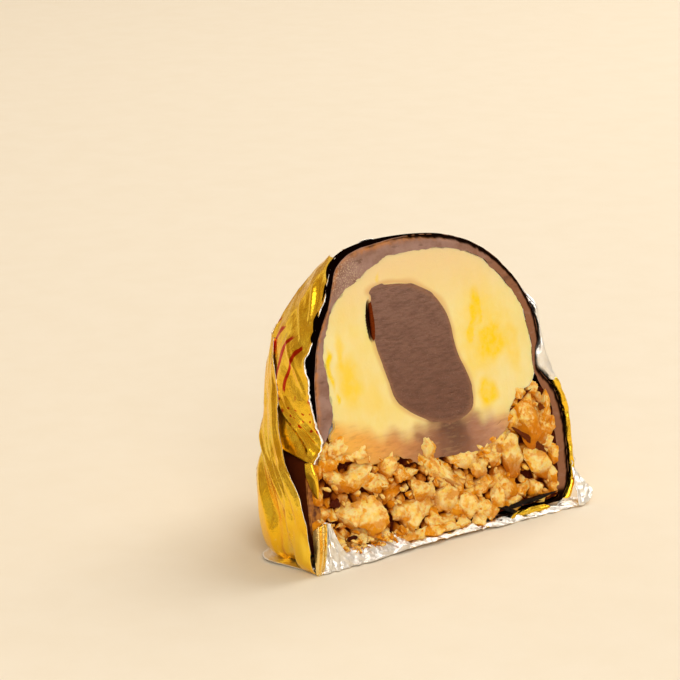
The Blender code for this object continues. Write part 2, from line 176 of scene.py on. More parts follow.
def cut_rows(made, outer, inner, rows):
    """The knife's face between two closed outlines: the outer loop drawn inwards row by row."""
    row_of = made.verts.layers.float.get("row") or made.verts.layers.float.new("row")
    place = made.verts.layers.float.get("place") or made.verts.layers.float.new("place")
    ring, edges = ring_of(made, outer)
    for index, point in enumerate(ring):
        point[place] = index
    for row in range(1, rows + 1):
        share = row / rows
        verts, edges = drawn_out(made, edges)
        for vert in verts:
            x, z = outer[round(vert[place])] * (1 - share) + inner[round(vert[place])] * share
            vert.co = (x, 0.0, z)
            vert[row_of] = share
    return edges


def closed(right, left):
    """One loop from two half outlines that start and end together."""
    return np.vstack([right, left[-2:0:-1]])


def close_up(made, verts):
    """Weld points that lie together and turn all faces outwards."""
    bmesh.ops.remove_doubles(made, verts=verts, dist=WELD)
    bmesh.ops.recalc_face_normals(made, faces=made.faces[:])


def stand_up(made):
    """Lean the upright shape back over its flat foot and turn millimetres into metres."""
    leaning = Matrix.Diagonal((MM, MM, MM, 1.0))
    leaning[1][2] = math.sin(LEAN) * MM
    leaning[1][3] = -math.sin(LEAN) * APEX * MM
    leaning[2][2] = math.cos(LEAN) * MM
    bmesh.ops.transform(made, matrix=leaning, verts=made.verts)


def finish_piece(name, made, materials, replaced, sharp=38.0):
    """Turn a bmesh into a piece of the praline that rides on its one body."""
    stand_up(made)
    mesh = bpy.data.meshes.new(name)
    made.to_mesh(mesh)
    made.free()
    mesh.shade_smooth()
    mesh.set_sharp_from_angle(angle=math.radians(sharp))
    for finish in materials:
        mesh.materials.append(finish)
    piece = bpy.data.objects.new(name, mesh)
    bpy.context.scene.collection.objects.link(piece)
    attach(piece, "root")
    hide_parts(replaced)
    return piece


class Nodes:
    """A node tree that is put together one node at a time."""

    def __init__(self, tree, space):
        self.tree = tree
        self.where = tree.nodes.new("ShaderNodeTexCoord").outputs[space]

    def give(self, socket, value):
        """Link a socket to another one, or set its own value."""
        if isinstance(value, bpy.types.NodeSocket):
            self.tree.links.new(value, socket)
        else:
            socket.default_value = value

    def node(self, kind, inputs=None, **settings):
        made = self.tree.nodes.new("ShaderNode" + kind)
        for setting, value in settings.items():
            setattr(made, setting, value)
        for socket, value in (inputs or {}).items():
            self.give(made.inputs[socket], value)
        return made

    def ramp(self, value, low, high, start=0.0, end=1.0):
        """A value stretched from one range to another and held at its ends."""
        return self.node("MapRange", {0: value, 1: low, 2: high, 3: start, 4: end}).outputs[0]

    def math(self, operation, first, second):
        return self.node("Math", {0: first, 1: second}, operation=operation).outputs[0]

    def add(self, first, second):
        return self.math("ADD", first, second)

    def times(self, first, second):
        return self.math("MULTIPLY", first, second)

    def mix(self, share, first, second):
        """Two colours mixed; each may be a socket or a colour."""
        first, second = (colour if isinstance(colour, bpy.types.NodeSocket) else (*colour, 1.0)
                         for colour in (first, second))
        return self.node("Mix", {0: share, 6: first, 7: second}, data_type="RGBA").outputs[2]


class Finish(Nodes):
    """A material built around its Principled shader."""

    def __init__(self, name, **settings):
        self.material = bpy.data.materials.new(name)
        self.material.use_nodes = True
        super().__init__(self.material.node_tree, "Object")
        for socket, value in settings.items():
            self.set(socket.replace("_", " "), value)

    def set(self, socket, value):
        self.give(self.tree.nodes["Principled BSDF"].inputs[socket], value)

    def painted(self, name):
        """The mesh's own attribute, as a share."""
        return self.node("Attribute", attribute_name=name).outputs["Fac"]

    def along(self, axis):
        return self.node("SeparateXYZ", {0: self.where}).outputs[axis]

    def grain(self, size, detail=3.0, roughness=0.55, stretch=(1.0, 1.0, 1.0)):
        """Noise whose lumps are about as large as size, in metres."""
        placed = self.node("Mapping", {"Vector": self.where, "Scale": stretch}).outputs[0]
        return self.node("TexNoise", {"Vector": placed, "Scale": 1.0 / size, "Detail": detail,
                                      "Roughness": roughness}).outputs[0]

    def bump(self, height, depth):
        """Fine relief that is depth metres high."""
        relief = self.node("Bump", {"Height": height, "Strength": 1.0, "Distance": depth})
        self.set("Normal", relief.outputs[0])


def glossy_chocolate():
    made = Finish("glossy_chocolate")
    # Within 3 mm of the cut the outside is painted near black and without sheen, fading out by 6.5 mm:
    # painted shade of the gap between foil and chocolate.
    behind = made.ramp(made.along("Y"), 3.0 * MM, 6.5 * MM)
    made.set("Specular IOR Level", made.ramp(behind, 0.0, 1.0, 0.0, 0.5))
    skin = made.mix(behind, (0.003, 0.0008, 0.0005), (0.016, 0.006, 0.0035))
    # Low at the left, where the outside shows between the foil and the nuts, it is painted maroon: painted
    # shade and a painted warm reflection of the gold foil.
    made.set("Base Color", made.mix(made.painted("low"), skin, (0.085, 0.016, 0.004)))
    made.set("Roughness", made.ramp(made.grain(2.5 * MM), 0.3, 0.7, 0.30, 0.5))
    made.bump(made.grain(0.9 * MM, 4.0), 0.06 * MM)
    return made.material


def cut_chocolate():
    made = Finish("cut_chocolate", Roughness=0.62)
    clouds = made.ramp(made.grain(1.6 * MM), 0.35, 0.65)
    body = made.mix(clouds, (0.235, 0.118, 0.082), (0.345, 0.205, 0.165))
    right = made.ramp(made.along("X"), 3.0 * MM, 11.0 * MM)
    body = made.mix(right, body, (0.255, 0.100, 0.043))
    smeared = made.grain(0.7 * MM, 4.0, stretch=(0.35, 1.0, 1.0))
    body = made.mix(made.ramp(smeared, 0.55, 0.72, 0.0, 0.5), body, (0.36, 0.22, 0.165))
    body = made.mix(made.ramp(smeared, 0.40, 0.28, 0.0, 0.6), body, (0.10, 0.038, 0.020))
    # Low at the left the cut is blotched dark maroon and orange.
    blots = made.ramp(made.grain(0.7 * MM), 0.42, 0.60)
    low_left_blots = made.mix(blots, (0.085, 0.018, 0.005), (0.46, 0.170, 0.020))
    body = made.mix(made.painted("low"), body, low_left_blots)
    ragged = made.ramp(made.grain(0.5 * MM, 4.0, 0.6), 0.38, 0.56, 0.3, 1.0)
    rim = made.times(made.painted("rim"), ragged)
    warm = made.ramp(right, 0.0, 0.25, 1.0, 0.0)
    body = made.mix(made.times(rim, warm), body, (0.53, 0.200, 0.048))
    skin = made.painted("skin")
    body = made.mix(skin, body, (0.006, 0.002, 0.001))
    made.set("Specular IOR Level", made.ramp(skin, 0.0, 0.6, 0.3, 0.0))
    specks = made.ramp(made.grain(0.13 * MM, 3.0, 0.6), 0.53, 0.64)
    pale = made.times(made.painted("pale"), specks)
    body = made.mix(pale, body, (0.60, 0.43, 0.29))
    made.set("Base Color", body)
    made.bump(made.grain(0.22 * MM, 5.0, 0.7), 0.07 * MM)
    return made.material


def build_shell():
    made = bmesh.new()
    layer = {name: made.verts.layers.float.new(name)
             for name in ("place", "row", "rim", "skin", "low", "pale")}
    outer = [uneven(through(points, SHELL_POINTS), amount=0.07, scale=2.2, seed=seed)
             for seed, points in ((1, SHELL_RIGHT), (2, SHELL_LEFT))]
    inner = [uneven(through(points, SHELL_POINTS), amount=0.20, scale=1.0, seed=seed)
             for seed, points in ((3, FILLING_RIGHT), (4, FILLING_LEFT))]
    half_turn(made, *outer, SHELL_TURN)
    half_turn(made, *inner, BACK_STEPS)
    skins = set(made.faces)
    rim_line, hole_line = closed(*outer), closed(*inner)
    cut_rows(made, rim_line, hole_line, SHELL_ROWS)
    walls = np.linalg.norm(rim_line - hole_line, axis=1)
    for vert in made.verts:
        # Low at the left the outside is marked for the glossy finish's painted shade and warm reflection.
        vert[layer["low"]] = smooth((-12.5 - vert.co.x) / 1.5) * smooth((12.5 - vert.co.z) / 2.0)
    cut_faces = set(made.faces) - skins
    for face in cut_faces:
        face.material_index = 1
    for vert in {vert for face in cut_faces for vert in face.verts}:
        x, z, row = vert.co.x, vert.co.z, vert[layer["row"]]
        away = row * walls[round(vert[layer["place"]]) % len(walls)]
        ragged = 0.18 * ripple((x, 0, z), 0.5, 8) + 0.12 * ripple((x, 0, z), 0.22, 9)
        at_left = smooth((2.0 - x) / 6.0)
        over_top = smooth((z - 24.5) / 2.5) * smooth((x + 4.0) / 5.0)
        skin_edge = 0.24 - 0.22 * at_left + 0.12 * over_top
        skin = 1.0 - smooth((away + 0.7 * ragged - skin_edge) / 0.22)
        foot_at_right = smooth((x - 5.5) / 2.0) * smooth((2.3 - z) / 0.6)
        vert[layer["skin"]] = max(skin, foot_at_right)
        vert[layer["rim"]] = 1.0 - smooth((away + ragged) / 0.85)
        vert[layer["low"]] = smooth((-13.0 - x) / 1.0) * smooth((12.0 - z) / 2.0)
        vert[layer["pale"]] = smooth(1.3 - math.hypot((x + 9.6) / 2.6, (z - 28.2) / 2.6))
        inside = math.sin(math.pi * min(max(row, 0.0), 1.0))
        vert.co.y = inside * (0.10 * ripple((x, 0, z), 1.8, 5) + 0.05 * ripple((x, 0, z), 0.5, 6)
                              + 0.10 * vert[layer["pale"]] * ripple((x, 0, z), 0.4, 7))
    close_up(made, made.verts[:])
    finish_piece("chocolate_bell", made, [glossy_chocolate(), cut_chocolate()],
                 "chocolate_shell")


build_shell()


# Ganache core. A soft rounded block of dark ganache sunk in the cream. The knife dragged fine ripples
# across it, and a small hollow was left at its upper left, drawn as a flat disc with painted shade.
CORE_OUTLINE = [
    (-6.9, 26.1), (-6.0, 26.5), (-4.2, 26.7), (-2.0, 26.3), (-0.4, 25.6), (1.2, 24.6), (2.3, 23.1),
    (2.95, 21.2), (3.2, 19.4), (3.6, 17.9), (4.3, 16.5), (4.8, 15.0), (4.9, 13.6), (4.6, 12.3), (3.6, 11.5),
    (1.6, 11.3), (-0.4, 11.9), (-2.2, 12.7), (-3.8, 13.8), (-4.9, 15.2), (-5.4, 16.8), (-6.0, 18.7),
    (-6.7, 20.9), (-6.8, 22.0), (-6.45, 23.3), (-6.7, 24.8), (-6.6, 25.7), (-6.9, 26.1),
]
CORE_POINTS = 190
CORE_ROWS = 26
CORE_DEPTH = 6.0
CORE_MIDDLE = np.array((-1.2, 18.9))
HOLLOW_X, HOLLOW_Z, HOLLOW_HALF, HOLLOW_HIGH = -6.85, 23.2, 0.36, 1.95


def round_back(made, outline, middle, steps, depth):
    """The skin behind a closed outline: copies of it drawn back and in to a point."""
    edges = ring_of(made, outline)[1]
    for step in range(1, steps):
        angle, before = (0.5 * math.pi * value / steps for value in (step, step - 1))
        smaller = math.cos(angle) / math.cos(before)
        verts, edges = drawn_out(made, edges)
        for vert in verts:
            vert.co.x = middle[0] + (vert.co.x - middle[0]) * smaller
            vert.co.z = middle[1] + (vert.co.z - middle[1]) * smaller
            vert.co.y = depth * math.sin(angle)
    bmesh.ops.edgeloop_fill(made, edges=edges)


def ganache():
    made = Finish("ganache", Roughness=0.68, Subsurface_Weight=0.12, Subsurface_Radius=(1.0, 0.4, 0.2),
                  Subsurface_Scale=0.8 * MM)
    lighter = made.ramp(made.along("Z"), 14.0 * MM, 26.0 * MM)
    body = made.mix(lighter, (0.244, 0.110, 0.070), (0.336, 0.178, 0.129))
    drag = made.grain(0.5 * MM, 4.0, 0.65, stretch=(0.42, 1.0, 1.5))
    body = made.mix(made.ramp(drag, 0.42, 0.66, 0.0, 0.6), body, (0.140, 0.061, 0.037))
    specks = made.ramp(made.grain(0.16 * MM, 2.0), 0.60, 0.72, 0.0, 0.35)
    body = made.mix(specks, body, (0.439, 0.268, 0.195))
    body = made.mix(made.painted("edge"), body, (0.390, 0.183, 0.098))
    # The hollow is painted, not cut: black at its left lip for painted shadow, maroon further in for its lit
    # inner wall.
    into_hollow = made.ramp(made.along("X"), (HOLLOW_X - 0.24) * MM, (HOLLOW_X + 0.02) * MM)
    painted_hollow = made.mix(into_hollow, (0.005, 0.001, 0.001), (0.207, 0.032, 0.004))
    pit = made.painted("pit")
    made.set("Base Color", made.mix(pit, body, painted_hollow))
    made.set("Specular IOR Level", made.ramp(pit, 0.0, 1.0, 0.3, 0.0))
    made.bump(made.add(drag, made.grain(0.2 * MM, 4.0, 0.65, stretch=(0.45, 1.0, 1.2))), 0.42 * MM)
    return made.material


def build_core():
    made = bmesh.new()
    outline = through(CORE_OUTLINE, CORE_POINTS + 1)[:-1]
    row_of, edge, pit = [made.verts.layers.float.new(name) for name in ("row", "edge", "pit")]
    last = cut_rows(made, outline, CORE_MIDDLE * 0.98 + outline * 0.02, CORE_ROWS)
    bmesh.ops.edgeloop_fill(made, edges=last)
    for vert in made.verts:
        x, z = vert.co.x, vert.co.z
        soft = 1.0 if x > -4.5 or z < 20.0 else 0.3
        vert[edge] = soft * (1.0 - smooth(vert[row_of] * 9.0))
        away = smooth(vert[row_of] * 6.0)
        vert.co.y = -0.05 * away + 0.05 * away * ripple((x, 0, z), 1.6, 11)
    round_back(made, outline, CORE_MIDDLE, steps=8, depth=CORE_DEPTH)
    bmesh.ops.remove_doubles(made, verts=made.verts[:], dist=WELD)
    # The hollow: a flat disc just in front of the cut, painted by the ganache finish as the hollow's shade.
    painted_hollow = bmesh.ops.create_circle(made, cap_ends=True, segments=40, radius=1.0)["verts"]
    for vert in painted_hollow:
        across, up = vert.co.x, vert.co.y
        ragged = 1.0 + 0.18 * ripple((across, up, 0), 0.5, 22)
        vert.co = (HOLLOW_X + HOLLOW_HALF * across * ragged - 0.06 * up, -0.09,
                   HOLLOW_Z + HOLLOW_HIGH * up * ragged)
        vert[pit] = 1.0
    bmesh.ops.recalc_face_normals(made, faces=made.faces[:])
    finish_piece("soft_ganache", made, [ganache()], "ganache_core")


build_core()


# Yellow cream. Soft fondant cream poured round the core, pale at the top and a deeper yellow in patches.
# The knife dragged its lower edge and some ganache down over the nuts as an orange and mauve smear.
CREAM_POINTS = 190
CREAM_ROWS = 44
CREAM_RIGHT = [
    (1.0, 8.3), (4.2, 8.1), (7.0, 8.7), (8.8, 9.8), (9.5, 11.6), (10.7, 12.8), (12.2, 13.4), (13.0, 14.3),
    (13.05, 16.0), *ROOF_RIGHT,
]
CREAM_LEFT = [
    (1.0, 8.3), (-1.2, 8.6), (-3.0, 8.5), (-5.2, 9.4), (-8.0, 9.3), (-9.8, 9.7), (-11.2, 10.6), (-12.6, 11.4),
    (-13.1, 12.6), (-12.6, 13.6), *ROOF_LEFT,
]
DEEP_PATCHES = [
    # middle, reach, turn, share
    ((6.3, 22.6), (1.0, 2.7), 0.0, 0.7), ((5.3, 20.2), (0.7, 1.5), 0.1, 0.85),
    ((6.6, 21.5), (0.5, 0.9), 0.0, 0.7), ((7.9, 18.7), (2.4, 2.4), 0.0, 0.65),
    ((6.9, 13.6), (1.6, 2.3), 0.0, 0.8), ((-12.3, 19.3), (0.35, 2.9), 0.0, 1.0),
    ((-11.9, 16.3), (0.25, 0.7), 0.0, 0.9), ((-10.2, 17.8), (1.9, 3.4), 0.0, 0.6),
    ((-7.9, 15.4), (2.6, 2.0), 0.5, 0.2), ((-5.4, 27.3), (0.25, 0.9), 0.0, 0.5),
    ((-11.0, 21.0), (0.7, 2.5), 0.0, 0.5), ((6.8, 20.0), (4.5, 6.5), 0.0, 0.42),
    ((10.6, 18.0), (1.2, 4.0), 0.0, 0.4),
]
SMEAR_LINE = [
    # across, height of the smear's upper edge
    (-14.0, 14.2), (-12.4, 14.0), (-8.0, 12.4), (-4.5, 11.5), (-2.5, 11.9), (0.0, 12.3), (3.5, 12.3),
    (6.0, 11.3), (9.0, 11.3), (10.5, 11.8), (14.0, 12.6),
]
SMEAR_COLOURS = [
    # across; red, green and blue
    (-13.0, 0.88, 0.460, 0.070), (-10.0, 0.86, 0.430, 0.080), (-7.0, 0.74, 0.350, 0.085),
    (-4.5, 0.60, 0.270, 0.090), (-2.0, 0.42, 0.200, 0.100), (0.2, 0.23, 0.105, 0.062),
    (3.4, 0.23, 0.105, 0.065), (5.0, 0.38, 0.185, 0.115), (7.5, 0.55, 0.290, 0.170),
    (10.0, 0.75, 0.400, 0.130),
]
DARK_SMEARS = [
    # middle, reach, turn, share
    ((1.8, 11.0), (2.2, 1.5), 0.1, 0.95), ((0.4, 12.2), (2.4, 0.7), 0.15, 0.7),
    ((2.4, 9.6), (1.6, 1.1), 0.0, 0.6), ((-2.2, 10.6), (1.3, 0.6), 0.2, 0.35),
]
SMEARED_GANACHE = (0.150, 0.068, 0.042)
HOLE_MIDDLE, HOLE_REACH = (-6.95, 23.2), (0.40, 1.95)


def blob(x, z, middle, reach, turn):
    """A soft ellipse: 1 at its middle, 0 outside."""
    across, up = x - middle[0], z - middle[1]
    along = across * math.cos(turn) - up * math.sin(turn)
    over = across * math.sin(turn) + up * math.cos(turn)
    return smooth(1.45 * (1.0 - math.hypot(along / reach[0], over / reach[1])))


def smear(x, z, wavy_x, wavy_z):
    """What the knife dragged over the cream at a place: its colour and how far it covers."""
    across, *bands = np.array(SMEAR_COLOURS).T
    drift = wavy_x + 1.2 * ripple((x, 0, z), 2.2, 18)
    tint = np.array([np.interp(drift, across, band) for band in bands])
    line = np.interp(x, *np.array(SMEAR_LINE).T) + 0.85 * ripple((x, 0, z), 1.7, 19)
    cover = smooth((line - z) / 2.1 + 0.42)
    for middle, reach, turn, share in DARK_SMEARS:
        weight = share * blob(wavy_x, wavy_z, middle, reach, turn)
        tint = tint * (1 - weight) + np.array(SMEARED_GANACHE) * weight
        cover = cover + (1 - cover) * weight
    return *tint, cover


def cream():
    made = Finish("fondant_cream", Roughness=0.46, Specular_IOR_Level=0.2, Subsurface_Weight=0.35,
                  Subsurface_Radius=(1.0, 0.55, 0.22), Subsurface_Scale=1.1 * MM)
    clouds = made.ramp(made.grain(5.0 * MM, 3.0), 0.36, 0.64)
    body = made.mix(clouds, (0.880, 0.755, 0.350), (0.880, 0.710, 0.240))
    streaks = made.grain(1.2 * MM, 4.0, stretch=(1.0, 1.0, 0.35))
    body = made.mix(made.ramp(streaks, 0.45, 0.70, 0.0, 0.35), body, (0.90, 0.79, 0.44))
    top = made.ramp(made.along("Z"), 22.0 * MM, 28.0 * MM)
    body = made.mix(top, body, (0.85, 0.640, 0.325))
    patchy = made.ramp(made.grain(1.1 * MM), 0.3, 0.6, 0.6, 1.0)
    body = made.mix(made.times(made.painted("deep"), patchy), body, (0.93, 0.640, 0.004))
    body = made.mix(made.painted("halo"), body, (0.70, 0.350, 0.120))
    stain = made.node("Attribute", attribute_name="stain")
    cover = stain.outputs["Alpha"]
    body = made.mix(cover, body, stain.outputs["Color"])
    dragged = made.grain(0.45 * MM, 4.0, 0.6, stretch=(0.28, 1.0, 1.2))
    pulled = made.times(cover, made.ramp(dragged, 0.50, 0.66, 0.0, 0.28))
    body = made.mix(pulled, body, (0.30, 0.110, 0.030))
    lifted = made.times(cover, made.ramp(dragged, 0.46, 0.34, 0.0, 0.12))
    body = made.mix(lifted, body, (0.90, 0.600, 0.260))
    # Round the hollow the cream is painted near black: painted shade inside the hollow.
    body = made.mix(made.painted("hole"), body, (0.050, 0.010, 0.002))
    made.set("Base Color", body)
    made.bump(made.add(made.grain(0.9 * MM, 3.0), made.grain(0.2 * MM, 3.0, 0.6)), 0.05 * MM)
    return made.material


def build_cream():
    made = bmesh.new()
    right = uneven(through(CREAM_RIGHT, CREAM_POINTS), amount=0.16, scale=1.1, seed=3)
    left = uneven(through(CREAM_LEFT, CREAM_POINTS), amount=0.24, scale=0.9, seed=4)
    outer = closed(right, left)
    core = through(CORE_OUTLINE, 400)[:-1]
    from_core = outer - CORE_MIDDLE
    turned = np.arctan2(*from_core.T)
    core_turned = np.arctan2(*(core - CORE_MIDDLE).T)
    outer = outer + 0.14 * from_core / np.linalg.norm(from_core, axis=1)[:, None]
    nearest = [np.argmin(np.abs(np.angle(np.exp(1j * (core_turned - angle))))) for angle in turned]
    inner = core[nearest]
    row_of, deep, halo, hole = [made.verts.layers.float.new(name) for name in ("row", "deep", "halo", "hole")]
    stain = made.verts.layers.float_color.new("stain")
    cut_rows(made, outer, inner * 0.96 + CORE_MIDDLE * 0.04, CREAM_ROWS)
    for vert in made.verts:
        x, z = vert.co.x, vert.co.z
        wavy_x = x + 0.45 * ripple((x, 0, z), 1.3, 16)
        wavy_z = z + 0.45 * ripple((x, 0, z), 1.3, 17)
        vert[deep] = min(1.0, sum(blob(wavy_x, wavy_z, middle, reach, turn) * 1.3 * share
                                  for middle, reach, turn, share in DEEP_PATCHES))
        near = np.min(np.hypot(core[:, 0] - x, core[:, 1] - z))
        vert[halo] = 0.55 * smooth(1.0 - near / (0.55 + 0.35 * ripple((x, 0, z), 2.0, 15)))
        vert[stain] = smear(x, z, wavy_x, wavy_z)
        pit = math.hypot((x - HOLE_MIDDLE[0]) / HOLE_REACH[0], (z - HOLE_MIDDLE[1]) / HOLE_REACH[1])
        vert[hole] = smooth(3.0 * (1.15 - pit))
        below = smooth((12.5 - z) / 2.5)
        away = math.sin(math.pi * min(vert[row_of] * 1.02, 1.0)) ** 0.5
        tucked = 0.16 * (1.0 - smooth(vert[row_of] * 40.0)) * (1.0 - below)
        waves = 0.09 * ripple((x, 0, z), 2.6, 12) + below * (0.22 * ripple((x, 0, z), 1.0, 13) - 0.1)
        vert.co.y = tucked + 0.7 * vert[hole] + away * waves
    half_turn(made, right, left, BACK_STEPS)
    close_up(made, made.verts[:])
    finish_piece("fondant_cream", made, [cream()], "yellow_cream")


build_cream()


# Chopped nuts. Roasted nuts chopped to 1 to 4 mm and bound with a little caramel and chocolate. The knife
# split some of them, so they show pale flat faces, and others broke out and left dark gaps. Light and shade
# are painted into their colour too: faces turned up and to the front paler, undersides and gaps darker, and
# a faint painted glow.
NUT_SEED = 23
HEAP_ROWS, HEAP_COLUMNS = 10, 14
LIP_CRUMBS, LOOSE_BITS = 70, 200
SPLIT_DEPTH = 0.70
LOWEST_BIT = 0.15
BINDING_POINTS, BINDING_ROWS = 60, 24
BINDING_MIDDLE = np.array((0.0, 5.4))
NUT_FLOOR_RIGHT = [
    (0, 1.3), (13.4, 1.3), (14.7, 2.4), (15.1, 5.0), (15.1, 9.0), (14.6, 11.4), (13.3, 13.2), (10.5, 11.8),
    (6.0, 9.6), (0.0, 9.6),
]
NUT_FLOOR_LEFT = [
    (0, 1.3), (-13.4, 1.3), (-15.0, 2.6), (-15.3, 8.0), (-14.6, 11.2), (-13.2, 12.6), (-10.5, 10.6),
    (-6.0, 9.6), (0.0, 9.6),
]
BIG_NUTS = [
    # across, up, half length, half breadth, turn in degrees, how far it stands out, paleness
    (-12.8, 8.6, 1.75, 0.85, 48, 0.35, 0.55), (-10.3, 8.2, 1.75, 1.05, -12, 0.40, 0.70),
    (-6.7, 8.6, 0.85, 1.25, 10, 0.45, 0.95), (-8.7, 7.2, 1.05, 1.30, -20, 0.25, 0.35),
    (-11.7, 4.8, 1.55, 1.35, -35, 0.35, 0.55), (-9.1, 4.1, 1.70, 1.60, 20, 0.75, 0.80),
    (-6.4, 5.4, 1.70, 0.85, 5, -0.35, 0.05), (-3.6, 3.1, 2.05, 1.35, -14, 0.55, 0.75),
    (-2.7, 5.6, 1.55, 0.85, -8, 0.35, 0.65), (0.1, 6.6, 2.80, 1.15, 38, 0.45, 0.75),
    (2.6, 7.7, 1.80, 0.90, 8, 0.30, 0.95), (-1.7, 9.4, 1.15, 1.40, 0, 0.35, 0.80),
    (0.4, 3.9, 1.75, 1.15, 6, 0.25, 0.45), (3.2, 2.3, 1.50, 1.20, 50, 0.45, 0.80),
    (4.8, 1.8, 0.90, 0.80, 0, 0.40, 0.75), (5.1, 4.1, 1.30, 1.05, -10, 0.15, 0.25),
    (4.5, 6.3, 1.10, 0.85, 15, 0.35, 0.85), (6.4, 7.2, 1.15, 1.00, 20, 0.10, 0.30),
    (9.2, 6.7, 1.20, 2.00, -12, 0.40, 0.70), (7.9, 3.9, 1.20, 1.65, 0, 0.15, 0.25),
    (12.6, 4.9, 2.90, 1.10, 45, 0.45, 0.60), (12.0, 10.8, 2.20, 2.70, -6, 0.30, 0.12),
    (13.0, 8.9, 1.50, 1.60, 0, 0.25, 0.10), (8.0, 8.5, 1.75, 0.90, -14, 0.15, 0.30),
    (-5.0, 7.3, 0.90, 0.85, 0, 0.15, 0.20), (-3.9, 7.4, 0.80, 0.75, 30, 0.20, 0.30),
    (-14.4, 5.4, 1.20, 0.95, 10, 0.05, 0.10), (-12.2, 11.3, 1.45, 1.10, -30, 0.15, 0.30),
    (-10.2, 10.5, 1.20, 0.90, 0, 0.20, 0.40), (12.1, 2.6, 0.75, 0.95, 0, 0.25, 0.60),
    (6.7, 2.7, 0.75, 1.05, 0, 0.20, 0.50), (-13.9, 2.6, 1.10, 0.75, 0, 0.20, 0.35),
    (10.0, 2.8, 1.15, 0.80, 0, 0.10, 0.20), (14.0, 7.2, 0.85, 1.40, 0, 0.10, 0.35),
    (-5.9, 3.6, 0.70, 0.80, 0, 0.25, 0.45), (1.7, 1.9, 0.85, 0.70, 0, -0.20, 0.10),
    (-1.3, 1.8, 1.20, 0.70, 0, 0.20, 0.40), (-8.0, 1.9, 1.30, 0.75, 10, 0.35, 0.60),
    (-11.0, 2.1, 1.20, 0.70, -15, 0.20, 0.30), (6.3, 1.7, 1.30, 0.65, 0, 0.15, 0.30),
    (9.0, 2.0, 1.20, 0.60, 0, 0.10, 0.25), (12.9, 13.0, 0.70, 0.90, 0, 0.05, 0.30),
    (13.9, 9.6, 0.75, 1.50, 0, 0.10, 0.20), (9.9, 10.4, 0.90, 1.10, 20, 0.10, 0.35),
    (-13.6, 10.4, 0.85, 1.00, 0, 0.10, 0.20), (0.2, 1.7, 1.30, 0.60, 0, 0.05, 0.30),
    (-5.2, 1.25, 1.10, 0.55, 10, 0.50, 0.40), (-3.5, 1.2, 1.00, 0.50, -10, 0.45, 0.55),
    (-1.7, 1.15, 1.10, 0.50, 0, 0.50, 0.30), (0.2, 1.15, 1.10, 0.50, 5, 0.40, 0.50),
    (2.1, 1.2, 1.10, 0.55, 0, 0.50, 0.60), (4.0, 1.15, 1.00, 0.50, -8, 0.50, 0.45),
    (5.7, 1.3, 0.90, 0.60, 0, 0.40, 0.35), (14.3, 4.0, 0.70, 1.20, 0, 0.10, 0.30),
    (11.0, 12.6, 1.00, 0.60, 30, 0.15, 0.30), (14.3, 11.2, 0.60, 1.20, -10, 0.20, 0.25),
    (14.6, 8.4, 0.55, 1.20, 0, 0.20, 0.15), (14.7, 5.8, 0.50, 1.20, 0, 0.20, 0.30),
    (14.4, 2.6, 0.60, 0.70, 0, 0.20, 0.20), (-15.1, 7.2, 0.75, 0.90, 0, 0.35, 0.10),
    (-15.3, 4.3, 0.75, 1.00, 0, 0.35, 0.15), (-14.9, 9.8, 0.65, 0.80, 0, 0.30, 0.05),
]
# Dark bits set just in front of the cut and given painted shade, where the cut shows shaded gaps and dark
# lines between the nuts.
DARK_BITS = [
    # across, up, half length, half breadth, turn in degrees, how deep in painted shade
    (11.5, 7.9, 2.30, 0.42, 39, 0.85), (-13.6, 6.4, 0.50, 0.35, 0, 1.0), (10.4, 1.75, 3.10, 0.24, -4, 1.4),
    (7.7, 1.45, 0.90, 0.28, 25, 1.4), (-14.6, 3.2, 0.50, 0.35, 20, 1.1), (13.3, 11.0, 0.32, 0.28, 0, 0.8),
    (-11.9, 2.6, 0.45, 0.35, 0, 1.1),
]
NUT_HOLES = [
    # middle, reach
    ((-11.4, 9.45), (1.5, 0.6)), ((-3.7, 9.3), (0.8, 0.7)), ((0.9, 1.9), (1.3, 0.8)),
    ((11.6, 7.6), (2.2, 0.8)), ((-5.9, 2.4), (1.2, 0.8)), ((11.4, 4.3), (0.8, 1.0)),
    ((-13.6, 7.0), (1.2, 0.6)), ((5.4, 5.4), (0.6, 0.5)),
]


